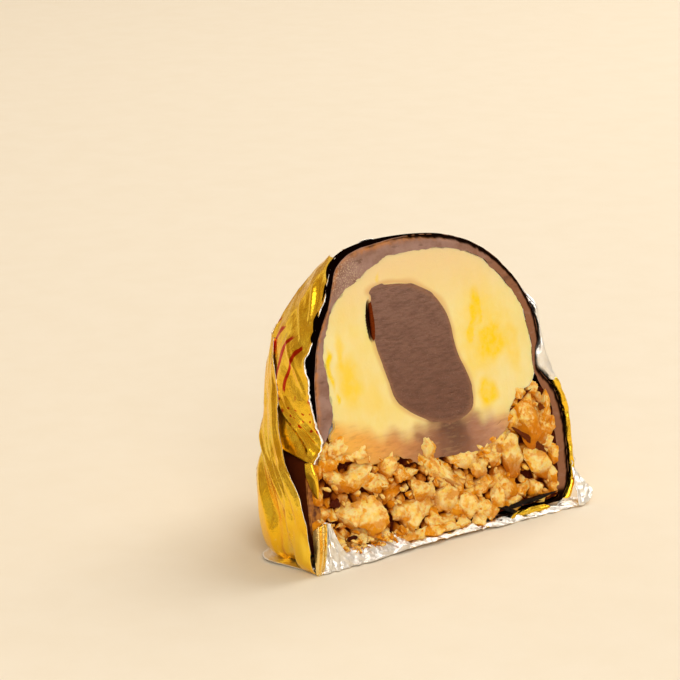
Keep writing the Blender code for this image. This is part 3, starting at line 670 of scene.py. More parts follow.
def nut_meat():
    # The faint emission in the nut colour is a painted glow, in place of light passing through the nut meat.
    made = Finish("chopped_nuts", Subsurface_Weight=0.2, Subsurface_Radius=(1.0, 0.6, 0.25),
                  Subsurface_Scale=0.3 * MM, Specular_IOR_Level=0.10, Emission_Strength=0.10)
    tone, fresh = made.painted("tone"), made.painted("fresh")
    roast = made.ramp(made.grain(0.8 * MM, 4.0), 0.35, 0.65)
    roasted = made.mix(roast, (0.62, 0.180, 0.002), (0.88, 0.320, 0.006))
    golden = made.mix(tone, roasted, (0.94, 0.410, 0.016))
    mealy = made.ramp(made.grain(0.6 * MM, 4.0, 0.65), 0.36, 0.60)
    paler = made.mix(mealy, (1.0, 0.620, 0.100), (1.0, 0.780, 0.320))
    # Split faces are paler, and so are faces turned up and to the front: painted highlight.
    split_or_lit_paleness = made.times(fresh, made.ramp(tone, 0.0, 0.7, 0.3, 1.0))
    split_or_lit_paleness = made.add(split_or_lit_paleness, made.ramp(made.grain(0.7 * MM, 5.0, 0.65), 0.35, 0.65, -0.25, 0.25))
    body = made.mix(made.ramp(split_or_lit_paleness, 0.30, 0.58), golden, paler)
    oily = made.ramp(made.grain(1.3 * MM, 4.0, 0.6), 0.51, 0.60, 0.0, 0.75)
    body = made.mix(oily, body, (0.76, 0.260, 0.003))
    # Undersides are painted darker orange: painted shade.
    body = made.mix(made.times(made.painted("under"), 0.9), body, (0.50, 0.125, 0.002))
    # Bits further behind the cut and in the gaps are painted darker and darker: painted shade.
    depth = made.painted("depth")
    for near, far, darker in ((0.10, 0.60, (0.52, 0.130, 0.002)), (0.50, 0.90, (0.075, 0.007, 0.0006)),
                              (1.05, 1.25, (0.006, 0.003, 0.002))):
        body = made.mix(made.ramp(depth, near, far), body, darker)
    spots = made.ramp(made.grain(0.22 * MM), 0.66, 0.74, 0.0, 0.7)
    body = made.mix(spots, body, (0.30, 0.080, 0.008))
    made.set("Base Color", body)
    made.set("Emission Color", body)
    made.set("Roughness", made.ramp(made.grain(0.5 * MM), 0.35, 0.65, 0.30, 0.6))
    made.bump(made.add(made.grain(0.34 * MM, 5.0, 0.7), made.grain(0.11 * MM)), 0.17 * MM)
    return made.material


def rough(points, scale, shift=(0, 0, 0)):
    """Soft noise at each of the points, multiplied by a scale and moved aside."""
    return np.array([noise.noise(Vector(point) * scale + Vector(shift)) for point in points])


def chop(made, layer, draw, middle, reach, turn, detail, tone, split=False, painted_gap_shade=0.0):
    """One bit of nut: a ball, flattened by many breaks, roughened, stretched and turned."""
    ball = bmesh.ops.create_icosphere(made, subdivisions=detail, radius=1.0)["verts"]
    where = np.array([vert.co for vert in ball])
    seed = draw.uniform(0.0, 90.0)
    where *= (1.0 + 0.38 * rough(where, 1.3, (seed, 0, 0)))[:, None]
    broken = np.zeros(len(ball))
    breaks = [Vector([draw.gauss(0, 1) for _ in range(3)]).normalized()
              for _ in range(draw.choice((6, 7, 8, 9)))]
    depths = [draw.uniform(0.42, 0.82) for _ in breaks]
    if split:
        breaks.append(Vector((draw.uniform(-0.35, 0.35), -1.0, draw.uniform(-0.35, 0.35))).normalized())
        depths.append(SPLIT_DEPTH)
    for way, depth in zip(np.array(breaks), depths):
        over = where @ way - depth
        hit = over > 0.0
        where[hit] -= np.outer(over[hit], way)
        broken[hit] = draw.choice((0.35, 0.7, 1.0, 1.0))
    crumble = rough(where, 3.2, (0, seed, 0)) + 0.6 * rough(where, 8.0, (0, 0, seed))
    where *= (1.0 + (0.07 + 0.10 * broken) * crumble)[:, None] * np.array(reach)
    tip = Matrix.Rotation(math.radians(turn), 3, "Y") @ Matrix.Rotation(draw.uniform(-0.3, 0.3), 3, "X")
    where = where @ np.array(tip).T
    way = where / (np.linalg.norm(where, axis=1)[:, None] + 1e-9)
    where += np.array(middle)
    grit = rough(where, 1 / 0.85, (seed, 0, 0)) + 0.6 * rough(where, 1 / 0.34)
    where += way * (0.17 * min(1.0, max(reach)) * grit)[:, None]
    where[:, 2] = np.maximum(where[:, 2], LOWEST_BIT)
    # Painted light and shade: faces turned up and to the front count as lit, the others as shaded undersides,
    # and bits behind the cut as deep in shade.
    lit = np.clip(0.5 + 0.6 * (way @ np.array((0.0, -0.6, 0.8))), 0.0, 1.0)
    marks = {"fresh": np.clip(0.55 * broken + 0.55 * lit, 0.0, 1.0),
             "tone": np.full(len(ball), tone),
             "depth": np.maximum(smooth((where[:, 1] + 0.05) / 1.15 + 0.25 * (0.5 - lit)), painted_gap_shade),
             "under": 1.0 - smooth(1.35 * lit)}
    for index, vert in enumerate(ball):
        vert.co = where[index]
        for name, values in marks.items():
            vert[layer[name]] = values[index]


def nut_room(x, z):
    """How far a point of the cut lies inside the nut layer, from its floor to the cream's underside."""
    wall = 15.3 - 0.9 * smooth((z - 8.0) / 5.0)
    lid = 9.2 + 0.022 * x * x
    return min(wall - abs(x), z - 0.9, lid - z)


def in_hole(x, z):
    return any(math.hypot((x - middle[0]) / reach[0], (z - middle[1]) / reach[1]) < 1.0
               for middle, reach in NUT_HOLES)


def build_nuts():
    draw = random.Random(NUT_SEED)
    made = bmesh.new()
    layer = {name: made.verts.layers.float.new(name)
             for name in ("fresh", "tone", "depth", "under", "place", "row")}
    heap = made, layer, draw
    for x, z, length, breadth, turn, stand, tone in BIG_NUTS:
        thick = 0.7 * min(length, breadth) + 0.4
        reach = (1.25 * length, thick, 1.25 * breadth)
        chop(*heap, (x, 0.62 * thick - stand, z), reach, turn, 4, tone, split=True)
    for x, z, length, breadth, turn, painted_gap_shade in DARK_BITS:
        chop(*heap, (x, -0.28, z), (1.25 * length, 0.45, 1.25 * breadth), turn, 4, 0.0, painted_gap_shade=painted_gap_shade)
    for row in range(HEAP_ROWS):
        for column in range(-HEAP_COLUMNS, HEAP_COLUMNS + 1):
            x = (column + 0.5 * (row % 2)) * 1.15 + draw.uniform(-0.35, 0.35)
            z = 1.6 + row * 1.12 + draw.uniform(-0.35, 0.35)
            reach = draw.choice((0.55, 0.7, 0.9, 1.15))
            back = 0.75 + 0.35 * reach + draw.uniform(-0.35, 0.25) + (1.2 if in_hole(x, z) else 0.0)
            if nut_room(x, z) > 0.3:
                size = (reach * draw.uniform(0.8, 1.4), reach, reach * draw.uniform(0.65, 1.1))
                chop(*heap, (x, back, z), size, draw.uniform(0, 180), 3, draw.uniform(0.0, 0.8))
    for _ in range(LIP_CRUMBS):
        x = draw.uniform(-13.6, -5.6)
        reach = draw.uniform(0.10, 0.34)
        place = (x, draw.uniform(-0.8, -0.3), draw.uniform(1.3, 2.4))
        chop(*heap, place, (1.5 * reach, reach, 0.7 * reach), draw.uniform(0, 180), 3, draw.uniform(0.0, 0.7))
    for _ in range(LOOSE_BITS):
        x, z = draw.uniform(-15.2, 15.2), draw.uniform(1.0, 11.5)
        reach = draw.uniform(0.14, 0.42)
        if nut_room(x, z) > 0.9 and not in_hole(x, z):
            place, size = (x, draw.uniform(-0.15, 0.35), z), (1.4 * reach, reach, 0.7 * reach)
            chop(*heap, place, size, draw.uniform(0, 180), 2, draw.uniform(0.1, 0.9))
    earlier = set(made.verts)
    right, left = through(NUT_FLOOR_RIGHT, BINDING_POINTS), through(NUT_FLOOR_LEFT, BINDING_POINTS)
    half_turn(made, right, left, BACK_STEPS)
    outline = closed(right, left)
    last = cut_rows(made, outline, outline * 0.04 + BINDING_MIDDLE * 0.96, BINDING_ROWS)
    bmesh.ops.edgeloop_fill(made, edges=last)
    binding = [vert for vert in made.verts if vert not in earlier]
    for vert in binding:
        # The binding behind the nuts takes the full painted shade of the deepest gaps.
        vert[layer["depth"]] = 1.0
        if vert[layer["row"]] > 0.0:
            vert.co.y = 1.1 + 0.5 * ripple((vert.co.x, 0, vert.co.z), 1.2, 21)
    close_up(made, binding)
    finish_piece("nut_pieces", made, [nut_meat()], "nut_base", sharp=42.0)


build_nuts()


# Foil, main sheet. Thin aluminium foil, gold lacquered outside and bare silver inside, wrapped close round
# the dome and gathered in upright folds over the base. It was torn off above and in front of the cut.
FOIL_THICKNESS = 0.05
FOIL_WELD = 0.002
FOIL_LOWEST = 0.07
FACET_LEAN = 0.38
FRONT_LIMIT = -6.47
FOIL_RIGHT = [
    (13.6, 0.12), (15.7, 0.5), (16.9, 1.7), (17.25, 3.6), (17.25, 8.8), (17.0, 11.0), (16.4, 13.0),
    (15.3, 15.0), (14.7, 17.0), (14.5, 19.0), (14.35, 20.5), (13.9, 22.0), (12.8, 24.0), (11.3, 26.0),
    (9.4, 27.8), (7.6, 28.9), (5.6, 29.8),
]
FOIL_LEFT = [
    (-13.6, 0.12), (-15.7, 0.5), (-16.9, 1.7), (-17.3, 3.6), (-17.3, 8.4), (-16.9, 10.4), (-16.1, 12.0),
    (-15.2, 13.5), (-14.75, 15.0), (-14.6, 18.7), (-14.3, 20.4), (-13.7, 22.2), (-12.9, 23.9), (-12.1, 25.4),
    (-11.4, 27.2), (-10.6, 28.8), (-9.4, 29.8),
]
RIGHT_EDGE = [
    # height, how far behind the cut the sheet is torn
    (0.0, 1.2), (2.0, 0.7), (5.0, 0.25), (21.5, 0.0), (23.0, 0.7), (24.0, 1.8), (26.0, 2.7), (28.0, 3.7),
    (29.1, 4.4), (30.0, 5.0),
]
LEFT_EDGE = [
    (0.0, 2.8), (4.0, 4.3), (9.0, 5.4), (12.0, 5.0), (14.0, 4.4), (18.0, 4.2), (24.0, 4.0), (27.0, 3.9),
    (28.5, 4.1), (29.2, 4.5), (30.0, 5.0),
]
WRAP_COLUMNS, WRAP_ROWS = 190, 130


def crumple(across, up, cell, seed):
    """Flat facets between straight creases, about a cell apart, as heights of about 1 around 0."""
    draw = np.random.default_rng(seed)
    p, q = across / cell[0], up / cell[1]
    hills = []
    for _ in range(2):
        hill = np.full(p.shape, -9.0)
        for i in range(int(np.floor(p.min())) - 1, int(np.ceil(p.max())) + 2):
            for j in range(int(np.floor(q.min())) - 1, int(np.ceil(q.max())) + 2):
                x, y = i + draw.uniform(-0.45, 0.45), j + draw.uniform(-0.45, 0.45)
                tilt = draw.normal(0.0, FACET_LEAN, 2)
                plane = draw.uniform(-0.35, 0.35) + tilt[0] * (p - x) + tilt[1] * (q - y)
                hill = np.maximum(hill, plane - 0.9 * ((p - x) ** 2 + (q - y) ** 2))
        hills.append(hill)
    relief = hills[0] - hills[1]
    return (relief - relief.mean()) / relief.std()


def normals_of(table):
    """The unit normals of a grid of points."""
    along, up = np.gradient(table, axis=1), np.gradient(table, axis=0)
    facing = np.cross(along, up)
    return facing / (np.linalg.norm(facing, axis=2)[:, :, None] + 1e-9)


def run_lengths(table):
    """How far each point of a grid lies from the first column and from the first row, along the sheet."""
    across = np.cumsum(np.linalg.norm(np.diff(table, axis=1, prepend=table[:, :1]), axis=2), axis=1)
    up = np.cumsum(np.linalg.norm(np.diff(table, axis=0, prepend=table[:1]), axis=2), axis=0)
    return across, up


def foil_piece(name, table, finishes, print_at=(0.0, 0.0)):
    """A thin sheet from a grid of points in upright millimetres, with a finish in front and one behind."""
    made = bmesh.new()
    rows, columns = table.shape[:2]
    across, up = run_lengths(table)
    unrolled = {}
    for vert in bmesh.ops.create_grid(made, x_segments=columns - 1, y_segments=rows - 1, size=0.5)["verts"]:
        spot = round((vert.co.y + 0.5) * (rows - 1)), round((vert.co.x + 0.5) * (columns - 1))
        x, y, z = table[spot]
        nearest = FRONT_LIMIT - math.sin(LEAN) * (z - APEX)
        vert.co = (x, max(y, nearest), max(z, FOIL_LOWEST))
        unrolled[vert] = (across[spot] + print_at[0], up[spot] + print_at[1])
    layer = made.loops.layers.uv.new("unrolled")
    for face in made.faces:
        for loop in face.loops:
            loop[layer].uv = unrolled[loop.vert]
    bmesh.ops.remove_doubles(made, verts=made.verts[:], dist=FOIL_WELD)
    piece = finish_piece(name, made, finishes, "foil_wrapper", sharp=180.0)
    wall = piece.modifiers.new("thickness", "SOLIDIFY")
    wall.thickness = FOIL_THICKNESS * MM
    wall.offset = -1.0
    wall.material_offset = wall.material_offset_rim = 1


def gold_foil(name, printed=False, wear_and_sheen=0.0):
    made = Finish(name, Metallic=1.0)
    lacquer = made.ramp(made.grain(4.0 * MM), 0.35, 0.65)
    body = made.mix(lacquer, (1.0, 0.575, 0.022), (1.0, 0.675, 0.055))
    # Pale patches: sparse wear on the plain foil; with a high share they paint the pale highlights of the
    # gathered pleats.
    wear_and_sheen_spots = made.ramp(made.grain(0.45 * MM, 5.0, 0.7), 0.62, 0.72, wear_and_sheen, wear_and_sheen + 0.35)
    body = made.mix(wear_and_sheen_spots, body, (0.97, 0.82, 0.45))
    if printed:
        sheet = made.node("UVMap", uv_map="unrolled").outputs[0]
        up = made.node("SeparateXYZ", {0: sheet}).outputs["Y"]
        sweep = made.node("VectorMath", {0: sheet, 1: (18.0, 6.0, 0.0)}, operation="DISTANCE")
        wander = made.add(sweep.outputs["Value"], made.times(made.grain(4.0 * MM, 1.0), 1.2))
        rings = made.ramp(made.math("PINGPONG", wander, 0.85), 0.24, 0.19)
        high = made.times(made.ramp(up, 8.8, 9.2), made.ramp(up, 15.2, 14.8))
        parts = made.ramp(made.grain(3.2 * MM, 1.0), 0.38, 0.40)
        arcs = made.times(made.times(rings, high), parts)
        beads = made.node("TexVoronoi", {"Vector": sheet, "Scale": 1.15, "Randomness": 0.25})
        low = made.times(made.ramp(up, 5.6, 5.7), made.ramp(up, 8.0, 7.9))
        dots = made.times(made.ramp(beads.outputs["Distance"], 0.26, 0.20), low)
        body = made.mix(made.math("MAXIMUM", arcs, dots), body, (0.60, 0.032, 0.002))
    made.set("Base Color", body)
    made.set("Roughness", made.ramp(made.grain(1.4 * MM), 0.3, 0.7, 0.15, 0.30))
    made.bump(made.add(made.grain(0.55 * MM, 5.0, 0.62), made.grain(1.8 * MM, 2.0)), 0.05 * MM)
    return made.material


def silver_foil():
    made = Finish("silver_foil", Metallic=1.0, Roughness=0.30)
    dull = made.ramp(made.grain(0.9 * MM), 0.4, 0.7)
    made.set("Base Color", made.mix(dull, (0.97, 0.965, 0.95), (0.90, 0.86, 0.79)))
    made.bump(made.add(made.grain(0.4 * MM, 5.0, 0.65), made.grain(1.3 * MM, 2.0)), 0.11 * MM)
    return made.material


def wrap_table():
    """The main sheet as a grid of points, round from its right edge to its left one."""
    right, left = through(FOIL_RIGHT, WRAP_ROWS), through(FOIL_LEFT, WRAP_ROWS)
    table = np.zeros((WRAP_ROWS, WRAP_COLUMNS, 3))
    for row in range(WRAP_ROWS):
        half = 0.5 * (right[row, 0] - left[row, 0])
        ends = []
        for edge, outline in ((RIGHT_EDGE, right), (LEFT_EDGE, left)):
            x, height = outline[row]
            torn_at = np.interp(height, *np.array(edge).T) + 0.22 * ripple((x, 3.0, height), 0.9, 31)
            ends.append(math.asin(min(max(torn_at / (half * depth_share(height)), -0.2), 0.985)))
        angles = np.linspace(ends[0], math.pi - ends[1], WRAP_COLUMNS)
        side = np.cos(angles)
        heights = 0.5 * ((1 + side) * right[row, 1] + (1 - side) * left[row, 1])
        depths = np.sin(angles) * half * depth_share(heights)
        table[row, :, 0] = 0.5 * (right[row, 0] + left[row, 0]) + half * side
        table[row, :, 1] = depths
        table[row, :, 2] = heights - droop(depths, heights)
    return table


def crease_wrap(table):
    """Big facets over the dome, and upright gathers that deepen towards the base."""
    around = np.arctan2(table[:, :, 1], table[:, :, 0]) * 16.0
    up = table[:, :, 2]
    low = 1.0 - smooth((up - 4.0) / 10.0)
    foot = smooth(up / 2.5)
    facets = 0.20 * crumple(around, up, (5.2, 8.5), 41) + 0.10 * crumple(around, up, (2.3, 2.9), 42)
    gathers = 0.24 * crumple(around + 0.25 * up, up, (2.1, 16.0), 43) * low
    relief = (facets * (0.55 + 0.45 * smooth((up - 2.0) / 6.0)) + gathers) * (0.25 + 0.75 * foot)
    deepest = -0.5 + 0.42 * smooth((up - 14.0) / 5.0)
    return table + normals_of(table) * np.clip(relief, deepest, 0.42)[:, :, None]


plain_gold, bare_silver = gold_foil("gold_foil"), silver_foil()
gold_in_front, silver_in_front = [plain_gold, bare_silver], [bare_silver, plain_gold]
foil_piece("foil_wrap", crease_wrap(wrap_table()), gold_in_front)


# Foil, left strip. The front of the same wrap, torn along the cut. It carries the printed field, and its
# lower end is a loose tongue that stands just in front of the cut.
STRIP_NET = [
    # from the torn edge at the front to the hidden edge under the flap; from the tongue's tip upwards
    [(-16.1, -1.0, 11.0), (-16.3, 0.4, 11.0), (-16.4, 2.4, 11.15), (-16.6, 4.2, 11.5), (-16.6, 5.8, 12.0)],
    [(-15.15, -1.0, 12.1), (-15.6, 0.6, 12.1), (-16.0, 2.4, 12.3), (-16.2, 4.4, 12.6), (-16.0, 6.2, 13.0)],
    [(-14.85, -0.65, 13.4), (-15.2, 0.8, 13.4), (-15.6, 2.6, 13.5), (-15.9, 4.6, 13.7), (-15.6, 6.4, 14.0)],
    [(-14.95, -0.15, 15.2), (-15.2, 1.2, 15.2), (-15.4, 2.8, 15.3), (-15.5, 4.8, 15.4), (-15.1, 6.8, 15.5)],
    [(-14.90, 0.15, 16.9), (-15.05, 1.4, 16.9), (-15.2, 3.0, 16.9), (-15.15, 5.0, 16.9), (-14.7, 7.0, 17.0)],
    [(-14.65, 0.45, 18.5), (-14.85, 1.6, 18.5), (-14.95, 3.2, 18.5), (-14.8, 5.2, 18.5), (-14.3, 7.3, 18.5)],
    [(-14.60, 0.95, 20.0), (-14.70, 1.9, 20.0), (-14.70, 3.4, 20.0), (-14.45, 5.4, 20.0), (-13.8, 7.6, 20.0)],
    [(-13.85, 1.00, 21.3), (-14.05, 2.0, 21.4), (-14.15, 3.5, 21.5), (-13.9, 5.4, 21.5), (-13.2, 7.6, 21.5)],
    [(-12.25, 1.00, 24.0), (-12.40, 2.0, 24.0), (-12.70, 3.4, 24.0), (-12.4, 5.2, 24.0), (-11.7, 7.2, 24.0)],
    [(-11.10, 0.95, 26.8), (-11.05, 1.9, 26.8), (-11.20, 3.1, 26.7), (-10.7, 4.7, 26.5), (-9.9, 6.3, 26.2)],
    [(-10.30, 1.00, 28.5), (-10.15, 1.8, 28.4), (-10.10, 2.9, 28.3), (-9.4, 4.2, 28.1), (-8.4, 5.6, 27.8)],
    [(-9.25, 1.40, 29.45), (-9.05, 2.1, 29.4), (-8.80, 3.1, 29.3), (-8.1, 4.1, 29.1), (-7.2, 5.3, 28.8)],
]
STRIP_FACETS = [(0.05, 0.5, (2.6, 5.0), 51), (0.02, 0.0, (1.3, 1.6), 52)]
STRIP_FOLDS = [
    # start, end, width, height
    ((0.5, 0.6), (5.2, 4.8), 0.6, 0.46), ((0.2, 2.0), (4.3, 5.2), 0.5, 0.38),
    ((1.1, 13.5), (1.9, 17.5), 0.4, 0.22), ((0.7, 11.0), (3.4, 15.0), 0.45, 0.14),
    ((0.8, 6.5), (3.6, 11.5), 0.45, 0.12),
]
RIM_STEPS = [(-0.04, -0.05, 0.0), (0.06, -0.09, 0.0), (0.12, -0.04, 0.0)]


def net(points, columns, rows):
    """A smooth grid of points through a coarse one."""
    lines = np.array([through(line, columns) for line in points])
    return np.stack([through(lines[:, column], rows) for column in range(columns)], axis=1)


def torn(table, amount, scale, seed, curl, reach):
    """Tear the first column of a grid: it wanders, and its rim curls out."""
    inwards = table[:, 1] - table[:, 0]
    inwards /= np.linalg.norm(inwards, axis=1)[:, None] + 1e-9
    facing = normals_of(table)
    near = 1.0 - smooth(np.linspace(0.0, 1.0, table.shape[1]) / reach)
    drift = np.array([ripple(point, scale, seed) + 0.6 * ripple(point, 0.3 * scale, seed + 1)
                      for point in table[:, 0]])
    lifted = curl * (0.6 + 0.8 * np.abs(drift))
    return (table + near[None, :, None] * amount * drift[:, None, None] * inwards[:, None, :]
            + (near ** 2)[None, :, None] * lifted[:, None, None] * facing)


def crease(across, up, start, end, width, height):
    """A straight fold between two places on the unrolled sheet, highest on its line."""
    run = np.array(end) - np.array(start)
    along = np.clip(((across - start[0]) * run[0] + (up - start[1]) * run[1]) / (run @ run), 0.0, 1.0)
    away = np.hypot(across - start[0] - along * run[0], up - start[1] - along * run[1])
    return height * np.clip(1.0 - away / width, 0.0, 1.0) * smooth(4.0 * along * (1.0 - along) + 0.25)


def heights_on(table, facets, folds=()):
    """Heights over a sheet: facets are (height, slant, cell, seed), folds (start, end, width, height)."""
    across, up = run_lengths(table)
    facets = [height * crumple(across + slant * up, up, cell, seed) for height, slant, cell, seed in facets]
    return sum(facets + [crease(across, up, *fold) for fold in folds])[:, :, None]


strip = net(STRIP_NET, 60, 150)
strip = strip - normals_of(strip) * heights_on(strip, STRIP_FACETS, STRIP_FOLDS)
strip = torn(strip, amount=0.22, scale=1.1, seed=53, curl=-0.12, reach=0.09)
printed_gold = gold_foil("gold_foil_printed", printed=True)
foil_piece("foil_left_strip", strip[:, ::-1], [printed_gold, bare_silver], print_at=(2.0, 3.0))
rim = np.stack([strip[:, 0] + step for step in RIM_STEPS], axis=1)
ragged = [[0.22 * abs(ripple(point, 0.6, 54))] for point in strip[:, 0]]
rim[:, :, 0] += np.array([[0.0, 0.5, 1.0]]) * np.array(ragged)
foil_piece("foil_left_rim", rim, [bare_silver, bare_silver])


# Foil, left flap. The outer layer of the wrap: its free edge runs from the shoulder down to the front
# corner, stands a little off the layer below and bends inwards at the foot.
FLAP_NET = [
    # from the free edge to where it lies on the main sheet; from the foot upwards
    [(-16.7, -0.6, 0.15), (-16.6, 3.0, 0.2), (-15.2, 7.6, 0.2), (-10.0, 12.2, 0.2)],
    [(-17.8, -1.15, 1.8), (-18.0, 2.8, 1.7), (-16.6, 8.0, 1.6), (-10.9, 13.2, 1.6)],
    [(-18.0, -1.8, 5.7), (-18.2, 2.4, 5.6), (-16.9, 8.0, 5.4), (-11.2, 13.5, 5.2)],
    [(-18.1, -0.85, 8.7), (-18.15, 3.0, 8.6), (-16.6, 8.1, 8.5), (-11.1, 13.3, 8.4)],
    [(-17.4, 2.0, 11.3), (-17.2, 4.8, 11.3), (-15.6, 8.5, 11.3), (-10.6, 12.7, 11.3)],
    [(-16.4, 3.9, 14.0), (-15.9, 6.2, 14.0), (-14.3, 9.0, 14.0), (-9.9, 12.1, 14.0)],
    [(-15.3, 5.4, 17.3), (-14.8, 7.2, 17.3), (-13.2, 9.6, 17.3), (-9.5, 11.9, 17.3)],
    [(-14.3, 6.5, 19.6), (-13.7, 8.0, 19.7), (-12.3, 9.8, 19.8), (-9.2, 11.6, 20.0)],
    [(-13.8, 7.1, 21.1), (-13.1, 8.4, 21.2), (-11.8, 9.8, 21.3), (-8.9, 11.3, 21.5)],
]
FLAP_FACETS = [(0.21, -0.3, (2.6, 9.0), 61), (0.06, 0.0, (1.2, 3.4), 62)]
FLAP_GATHERS = [(0.14, -0.15, (1.3, 14.0), 63)]
FLAP_FOLDS = [((0.9, 1.5), (1.6, 12.5), 0.7, 0.30), ((3.0, 2.0), (2.6, 15.5), 0.9, 0.34)]

flap = net(FLAP_NET, 90, 120)
near_foot = 1.0 - smooth((run_lengths(flap)[1] - 9.0) / 6.0)
gathers = heights_on(flap, FLAP_GATHERS) * near_foot[:, :, None]
flap_heights = np.clip(heights_on(flap, FLAP_FACETS, FLAP_FOLDS) + gathers, -0.4, 0.4)
flap = flap - normals_of(flap) * flap_heights
flap = torn(flap, amount=0.12, scale=1.8, seed=64, curl=-0.08, reach=0.05)
foil_piece("foil_left_flap", flap[:, ::-1], gold_in_front)


# Foil, foot. The underside and the torn lip that lies crumpled along the foot of the cut, silver side up,
# with the pleated bunch at the left corner, the folded point at the right one and a loose tongue outside.
LIP_CREST = [
    # across, height
    (-16.6, 0.5), (-14.6, 0.9), (-13.0, 1.7), (-12.0, 1.8), (-10.0, 1.6), (-9.0, 1.4), (-7.0, 1.8),
    (-6.4, 1.7), (-5.5, 0.9), (-4.0, 0.75), (-2.0, 0.7), (0.0, 0.7), (2.0, 0.7), (4.0, 0.65), (5.0, 0.6),
    (6.5, 0.8), (7.5, 0.7), (9.0, 0.45), (12.0, 0.4), (15.0, 0.45), (17.4, 0.6),
]
LIP_LEFT_END, LIP_RIGHT_END = -16.9, 17.7
LIP_FOOT = [
    (-16.6, 0.05), (-13.0, 0.08), (-8.0, 0.14), (-5.5, 0.36), (3.5, 0.38), (6.0, 0.15), (17.4, 0.05),
]
GATHERED_NET = [
    [(-17.0, -0.8, 0.1), (-16.85, -0.95, 0.1), (-16.7, -0.8, 0.1), (-16.55, -0.95, 0.1), (-16.4, -0.8, 0.1),
     (-16.2, -0.95, 0.1)],
    [(-17.0, -0.8, 2.4), (-16.7, -1.3, 2.4), (-16.45, -0.9, 2.4), (-16.2, -1.35, 2.4), (-15.95, -0.9, 2.4),
     (-15.7, -1.2, 2.4)],
    [(-16.8, -0.7, 4.4), (-16.4, -1.2, 4.9), (-16.15, -0.8, 4.7), (-15.9, -1.25, 5.2), (-15.6, -0.8, 4.8),
     (-15.3, -1.1, 5.1)],
]
BARE_CORNER_NET = [
    [(-16.3, -0.95, 0.08), (-15.9, -0.85, 0.08), (-15.5, -0.98, 0.08), (-15.0, -0.85, 0.08),
     (-14.4, -0.98, 0.08), (-13.8, -0.88, 0.1), (-13.0, -0.95, 0.1)],
    [(-16.0, -1.2, 1.6), (-15.7, -0.75, 1.6), (-15.35, -1.25, 1.6), (-15.0, -0.75, 1.6), (-14.5, -1.2, 1.5),
     (-14.0, -0.8, 1.45), (-13.3, -1.05, 1.4)],
    [(-15.7, -1.3, 3.2), (-15.5, -0.8, 3.2), (-15.3, -1.3, 3.2), (-15.05, -0.8, 3.15), (-14.8, -1.2, 3.1),
     (-14.5, -0.85, 3.0), (-14.1, -1.0, 2.9)],
    [(-15.4, -1.0, 4.9), (-15.25, -0.8, 4.95), (-15.1, -1.1, 4.95), (-15.0, -0.8, 4.9), (-14.9, -1.0, 4.85),
     (-14.8, -0.85, 4.75), (-14.7, -0.9, 4.6)],
]
POINT_NET = [
    [(16.4, -1.1, 0.15), (17.0, -1.1, 0.1), (17.8, -0.95, 0.25)],
    [(16.5, -0.9, 0.7), (17.4, -0.95, 0.75), (18.6, -0.75, 0.85)],
    [(16.6, -0.75, 1.2), (17.7, -0.75, 1.25), (19.1, -0.5, 1.45)],
    [(16.7, -0.5, 1.9), (17.5, -0.55, 2.0), (18.2, -0.35, 2.2)],
    [(16.9, -0.1, 3.4), (17.2, -0.15, 3.5), (17.6, 0.05, 3.8)],
    [(17.0, 0.1, 5.2), (17.2, 0.1, 5.4), (17.4, 0.2, 5.6)],
]
FOLD_NET = [
    [(7.8, -0.35, 0.35), (10.2, -0.40, 0.35), (13.4, -0.35, 0.35)],
    [(8.1, -0.40, 0.65), (10.4, -0.48, 0.75), (13.1, -0.40, 0.70)],
    [(8.6, -0.30, 0.90), (10.5, -0.35, 1.05), (12.6, -0.30, 0.95)],
]
TAB_NET = [
    [(-16.8, 0.2, 0.1), (-14.5, 0.5, 0.1), (-12.6, 1.0, 0.1)],
    [(-17.8, 2.6, 0.25), (-15.4, 2.5, 0.15), (-13.0, 2.6, 0.12)],
    [(-18.7, 5.1, 0.35), (-15.8, 4.8, 0.2), (-13.2, 4.6, 0.12)],
    [(-17.8, 7.1, 0.2), (-15.4, 6.8, 0.12), (-13.0, 6.4, 0.1)],
    [(-16.4, 8.1, 0.1), (-14.8, 7.6, 0.1), (-13.0, 7.2, 0.1)],
]
SCRAP_NET = [
    [(-16.0, -0.3, 7.6), (-15.8, -0.75, 7.4), (-15.5, -0.4, 7.7)],
    [(-16.3, -0.1, 8.7), (-15.85, -0.98, 8.6), (-15.25, -0.3, 8.7)],
    [(-16.5, 0.0, 9.7), (-16.0, -0.98, 9.8), (-15.3, -0.35, 9.7)],
    [(-16.4, 0.1, 10.8), (-16.1, -0.6, 11.0), (-15.8, -0.5, 10.8)],
]
# Where the torn edge flares: height, reach along the edge, reach outwards.
CURL_FLARES = ((22.0, 1.8, 0.35), (15.9, 1.5, 0.20), (10.5, 2.4, 0.10))


def lip_table(columns, rows):
    """The torn lip: up from its front edge on the table, over its crest and down behind it."""
    table = np.zeros((rows, columns, 3))
    for column, x in enumerate(np.linspace(LIP_LEFT_END, LIP_RIGHT_END, columns)):
        crest = np.interp(x, *np.array(LIP_CREST).T) + 0.22 * ripple((x, 0, 0), 0.7, 71)
        foot = np.interp(x, *np.array(LIP_FOOT).T)
        edge = -0.85 + 0.12 * ripple((x, 0, 0), 2.2, 72) + 0.08 * ripple((x, 0, 0), 0.6, 73)
        wave = 0.22 * ripple((x, 5, 0), 0.9, 74)
        line = [(x, edge, foot), (x, edge + 0.12 + wave, foot + 0.45 * (crest - foot)),
                (x, edge + 0.5, crest), (x, -0.1, 0.9 * crest), (x, 0.5, 0.75 * crest)]
        table[:, column] = through(line, rows)
    return table


